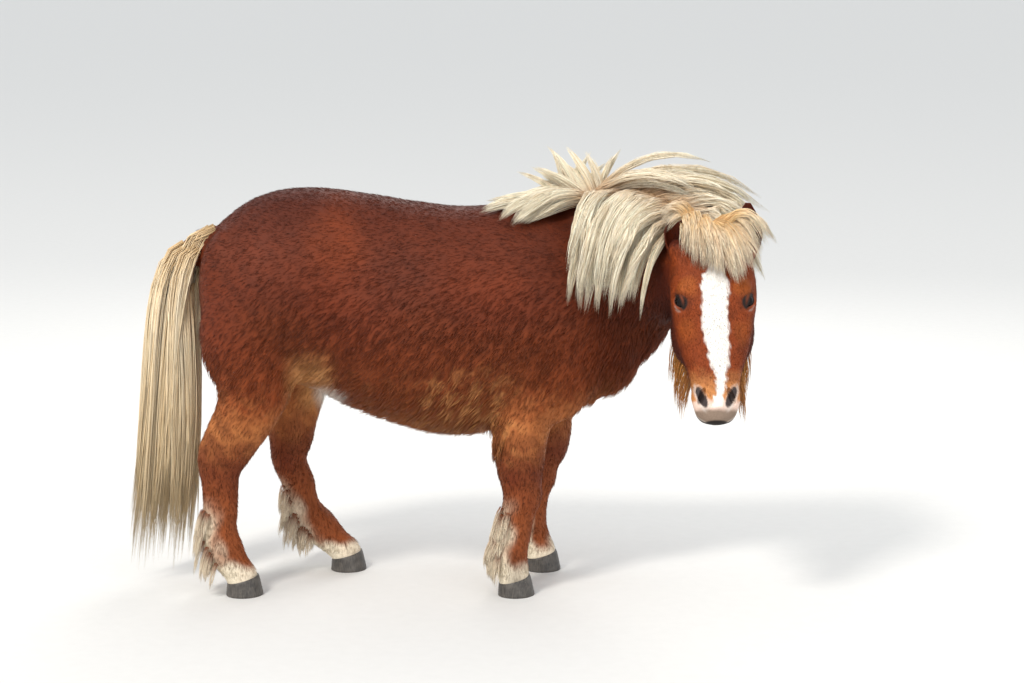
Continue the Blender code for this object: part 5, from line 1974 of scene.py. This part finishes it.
@dataclass
class Hoof:
    """One hoof, with growth rings, a worn lower edge and a rounded heel."""

    leg: Leg
    height: float = 0.050
    rings: int = 18
    sides: int = 64
    groove_depth: float = 0.010
    groove_turns: float = 34.0
    worn_edge: float = 0.02

    def build(self, material: bpy.types.Material) -> bpy.types.Object:
        """The horn from sole to coronet.

        Args:
            material: The horn's finish.

        Returns:
            The hoof.
        """
        leg = self.leg
        slope = Vector((-0.26, 0.0, 0.966)).normalized()
        bm = bmesh.new()
        rims = []
        for i in range(self.rings + 1):
            share = i / self.rings
            is_end = i in (0, self.rings)
            verts = bmesh.ops.create_circle(bm, cap_ends=is_end, segments=self.sides, radius=1.0)["verts"]
            rims.append(list({edge for vert in verts for edge in vert.link_edges}))
            length = np.interp(share, [0.0, 0.8, 1.0], [0.0480, 0.0425, 0.0405])
            width = np.interp(share, [0.0, 0.8, 1.0], [0.0465, 0.0420, 0.0405])
            ahead = np.interp(share, [0.0, 0.8, 1.0], [0.004, 0.001, 0.0])
            groove = 1.0 - self.groove_depth * (0.5 + 0.5 * math.sin(share * self.groove_turns))
            groove -= self.worn_edge if i == 0 else 0.0
            for vert in verts:
                angle = math.atan2(vert.co.y, vert.co.x)
                cleft = math.exp(-(((math.pi - abs(angle)) / 0.22) ** 2))
                heel = 1.0 - 0.10 * max(0.0, -math.cos(angle)) ** 0.5 - 0.06 * cleft
                x = leg.hoof + ahead + length * heel * math.cos(angle) * groove
                y = leg.y + width * math.sin(angle) * groove
                ceiling = self.height - 0.0003 - (x - leg.hoof) * slope.x / slope.z
                vert.co = Vector((x, y, FLOOR + (ceiling - FLOOR) * share))
        for lower, upper in zip(rims, rims[1:]):
            bmesh.ops.bridge_loops(bm, edges=lower + upper)
        bmesh.ops.recalc_face_normals(bm, faces=bm.faces)
        name = leg.name.replace("_leg", "")
        return finished(new_object("horn_" + name, bm), material, ["hoof_" + name])


# Finishes


class Graph:
    """A short way to lay out a material's nodes."""

    def __init__(self, name: str) -> None:
        """Start a material with an empty node tree.

        Args:
            name: The material's name.
        """
        self.material = bpy.data.materials.new(name)
        self.material.use_nodes = True
        self.tree = self.material.node_tree
        self.shader = self.tree.nodes["Principled BSDF"]

    def node(self, kind: str, **values: object) -> bpy.types.Node:
        """A new node. Values whose names start with a capital set sockets, and others set properties.

        Args:
            kind: The node's type.
            values: Values for its sockets and properties.

        Returns:
            The node.
        """
        made = self.tree.nodes.new(kind)
        for name, value in values.items():
            if name[0].isupper():
                made.inputs[name.replace("_", " ")].default_value = value
            else:
                setattr(made, name, value)
        return made

    def link(self, source: bpy.types.NodeSocket, target: bpy.types.NodeSocket) -> None:
        """Join two sockets."""
        self.tree.links.new(source, target)

    def shade(self, **values: float) -> None:
        """Set the shader's sockets, named with underscores for spaces."""
        for name, value in values.items():
            self.shader.inputs[name.replace("_", " ")].default_value = value

    def speckle(self, noise: bpy.types.Node, low: float, high: float, dark: float, light: float) -> None:
        """Take the base colour from the coat layer, and let a noise darken and lighten it.

        Args:
            noise: The noise's node.
            low: The noise's value at the darkest.
            high: The noise's value at the lightest.
            dark: The darkest, as a share of the colour.
            light: The lightest, as a share of the colour.
        """
        colour = self.node("ShaderNodeAttribute", attribute_name=COAT_LAYER)
        place = self.node("ShaderNodeTexCoord")
        self.link(place.outputs["Object"], noise.inputs["Vector"])
        ramp = self.node("ShaderNodeMapRange", From_Min=low, From_Max=high, To_Min=dark, To_Max=light)
        self.link(noise.outputs["Fac"], ramp.inputs["Value"])
        tint = self.node("ShaderNodeVectorMath", operation="SCALE")
        self.link(colour.outputs["Color"], tint.inputs[0])
        self.link(ramp.outputs["Result"], tint.inputs["Scale"])
        self.link(tint.outputs["Vector"], self.shader.inputs["Base Color"])

    def bump(self, height: bpy.types.NodeSocket, strength: float, distance: float) -> None:
        """Raise the surface a little where a value is high.

        Args:
            height: The socket that gives the value.
            strength: How strong it looks.
            distance: How high it is at most, in metres.
        """
        made = self.node("ShaderNodeBump", Strength=strength, Distance=distance)
        self.link(height, made.inputs["Height"])
        self.link(made.outputs["Normal"], self.shader.inputs["Normal"])


@dataclass(frozen=True)
class HairFinish:
    """Hair that takes its colour from the coat layer, with fine strands in its bump."""

    name: str
    roughness: float
    shine: float
    grain: float
    strength: float

    def material(self) -> bpy.types.Material:
        """Build the node tree.

        Returns:
            The material.
        """
        graph = Graph(self.name)
        noise = graph.node("ShaderNodeTexNoise", Scale=self.grain, Detail=4.0, Roughness=0.6)
        graph.speckle(noise, 0.25, 0.75, 0.80, 1.18)
        graph.bump(noise.outputs["Fac"], self.strength, 0.002)
        graph.shade(Roughness=self.roughness, Specular_IOR_Level=self.shine)
        return graph.material


@dataclass(frozen=True)
class HornFinish:
    """Grey horn with fine upright lines, growth bands and some dust."""

    name: str = "grey_horn"
    dark: Rgba = (0.030, 0.026, 0.023, 1.0)
    light: Rgba = (0.120, 0.105, 0.090, 1.0)

    def material(self) -> bpy.types.Material:
        """Build the node tree.

        Returns:
            The material.
        """
        graph = Graph(self.name)
        place = graph.node("ShaderNodeTexCoord")
        squash = graph.node("ShaderNodeMapping", vector_type="TEXTURE")
        squash.inputs["Scale"].default_value = (1.0, 1.0, 12.0)
        graph.link(place.outputs["Object"], squash.inputs["Vector"])
        lines = graph.node("ShaderNodeTexNoise", Scale=420.0, Detail=3.0)
        graph.link(squash.outputs["Vector"], lines.inputs["Vector"])
        bands = graph.node("ShaderNodeTexNoise", Scale=60.0, Detail=2.0)
        graph.link(place.outputs["Object"], bands.inputs["Vector"])
        blend = graph.node("ShaderNodeMix", data_type="FLOAT")
        blend.inputs["Factor"].default_value = 0.45
        graph.link(lines.outputs["Fac"], blend.inputs["A"])
        graph.link(bands.outputs["Fac"], blend.inputs["B"])
        ramp = graph.node("ShaderNodeValToRGB")
        ramp.color_ramp.elements[0].position = 0.35
        ramp.color_ramp.elements[0].color = self.dark
        ramp.color_ramp.elements[1].position = 0.70
        ramp.color_ramp.elements[1].color = self.light
        graph.link(blend.outputs["Result"], ramp.inputs["Fac"])
        graph.link(ramp.outputs["Color"], graph.shader.inputs["Base Color"])
        graph.bump(blend.outputs["Result"], 0.35, 0.001)
        graph.shade(Roughness=0.48)
        return graph.material


@dataclass(frozen=True)
class EyeFinish:
    """A wet eye that takes its iris and pupil from the coat layer."""

    name: str = "wet_eye"

    def material(self) -> bpy.types.Material:
        """Build the node tree.

        Returns:
            The material.
        """
        graph = Graph(self.name)
        graph.speckle(graph.node("ShaderNodeTexNoise", Scale=600.0, Detail=2.0), 0.3, 0.7, 0.8, 1.2)
        graph.shade(Roughness=0.10, Specular_IOR_Level=0.10, Coat_Weight=0.15, Coat_Roughness=0.03)
        return graph.material


@dataclass
class Studio:
    """A pale floor, soft lights and the photograph's camera."""

    camera_at: Vector = field(default_factory=lambda: Vector((0.137, -5.5, 1.5)))
    tilt: float = math.radians(80.8)
    lens: float = 80.86
    floor_reach: float = 600.0

    def floor(self) -> None:
        """A wide pale floor."""
        bm = bmesh.new()
        bmesh.ops.create_grid(bm, x_segments=2, y_segments=2, size=self.floor_reach)
        obj = new_object("studio_floor", bm)
        graph = Graph("pale_floor")
        place = graph.node("ShaderNodeTexCoord")
        noise = graph.node("ShaderNodeTexNoise", Scale=30.0, Detail=3.0)
        graph.link(place.outputs["Object"], noise.inputs["Vector"])
        ramp = graph.node("ShaderNodeValToRGB")
        ramp.color_ramp.elements[0].color = (0.66, 0.65, 0.63, 1.0)
        ramp.color_ramp.elements[1].color = (0.70, 0.69, 0.67, 1.0)
        graph.link(noise.outputs["Fac"], ramp.inputs["Fac"])
        graph.link(ramp.outputs["Color"], graph.shader.inputs["Base Color"])
        graph.shade(Roughness=0.85)
        obj.data.materials.append(graph.material)
        obj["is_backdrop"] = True

    def lamp(self, name: str, at: Place, aim: Place, size: float, power: float, colour: Colour) -> None:
        """One soft square light.

        Args:
            name: Its name.
            at: Where it hangs.
            aim: Where it points.
            size: The length of its edge.
            power: Its power in watts.
            colour: Its colour.
        """
        data = bpy.data.lights.new(name, "AREA")
        data.size = size
        data.energy = power
        data.color = colour
        obj = bpy.data.objects.new(name, data)
        obj.location = at
        obj.rotation_euler = (Vector(aim) - Vector(at)).to_track_quat("-Z", "Y").to_euler()
        bpy.context.scene.collection.objects.link(obj)

    def light(self) -> None:
        """A warm key from high on the left, a wide fill in front, a rim behind and a pale sky."""
        self.lamp("key", (-6.0, -9.0, 11.0), (0.0, 0.0, 0.5), 2.6, 1500.0, (1.0, 0.96, 0.90))
        self.lamp("fill", (3.5, -4.5, 2.0), (0.1, 0.0, 0.5), 3.5, 45.0, (0.95, 0.97, 1.0))
        self.lamp("rim", (0.5, 3.8, 3.4), (0.0, 0.0, 0.7), 2.2, 60.0, (1.0, 0.97, 0.92))
        world = bpy.data.worlds.new("pale_sky")
        bpy.context.scene.world = world
        world.use_nodes = True
        sky = world.node_tree.nodes["Background"]
        sky.inputs["Color"].default_value = (0.90, 0.93, 0.96, 1.0)
        sky.inputs["Strength"].default_value = 1.1
        bpy.context.scene.view_settings.view_transform = "Standard"

    def camera(self) -> None:
        """The camera at the photograph's viewing angle."""
        data = bpy.data.cameras.new("camera")
        data.lens = self.lens
        data.sensor_width = 36.0
        data.clip_end = 2000.0
        obj = bpy.data.objects.new("camera", data)
        obj.location = self.camera_at - BOX_MIDDLE
        obj.rotation_euler = (self.tilt, 0.0, 0.0)
        bpy.context.scene.collection.objects.link(obj)
        bpy.context.scene.camera = obj

    def build(self) -> None:
        """Set the stage."""
        self.floor()
        self.light()
        self.camera()


SKIN_NODES = [
    "torso", "neck", "head", "ear_left", "ear_right", "forearm_left", "forearm_right", "fore_cannon_left",
    "fore_cannon_right", "thigh_left", "thigh_right", "hind_cannon_left", "hind_cannon_right",
]


def corners(box: tuple[Vector, Vector]) -> list[list[float]]:
    """A box's corners as plain lists."""
    return [[float(v) for v in corner] for corner in box]


def main() -> None:
    """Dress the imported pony."""
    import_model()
    cad_box = corners(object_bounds())
    Studio().build()
    coat_finish = HairFinish("chestnut_fur", 0.46, 0.30, 900.0, 0.30).material()
    skin_finish = HairFinish("chestnut_skin", 0.60, 0.20, 420.0, 0.45).material()
    hair_finish = HairFinish("flaxen_strands", 0.42, 0.30, 500.0, 0.15).material()
    markings = Markings()
    palette = markings.palette

    skin = Skin().build()
    at, normals = vertex_array(skin.data), vertex_array(skin.data, "normal")
    paint(skin.data, markings.colour(at, normals))
    bm = bmesh.new()
    bm.from_mesh(skin.data)
    tree = BVHTree.FromBMesh(bm)
    bm.free()
    Coat(skin, markings, coat_finish).build()
    Mane(tree, hair_finish, palette).build()
    Forelock(tree, hair_finish, palette).build()
    Beard(tree, hair_finish, palette).build()
    Tail(tree, hair_finish, palette).build()
    for leg in LEGS:
        Feather(leg, tree, hair_finish, palette).build()
        Hoof(leg).build(HornFinish().material())
    for side in Side:
        Eye(side).ball(EyeFinish().material())
    finished(skin, skin_finish, SKIN_NODES)

    {"cad": cad_box, "visual": corners(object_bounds())}


if __name__ == "__main__":
    logging.basicConfig(level=logging.INFO, format="%(message)s")
    main()
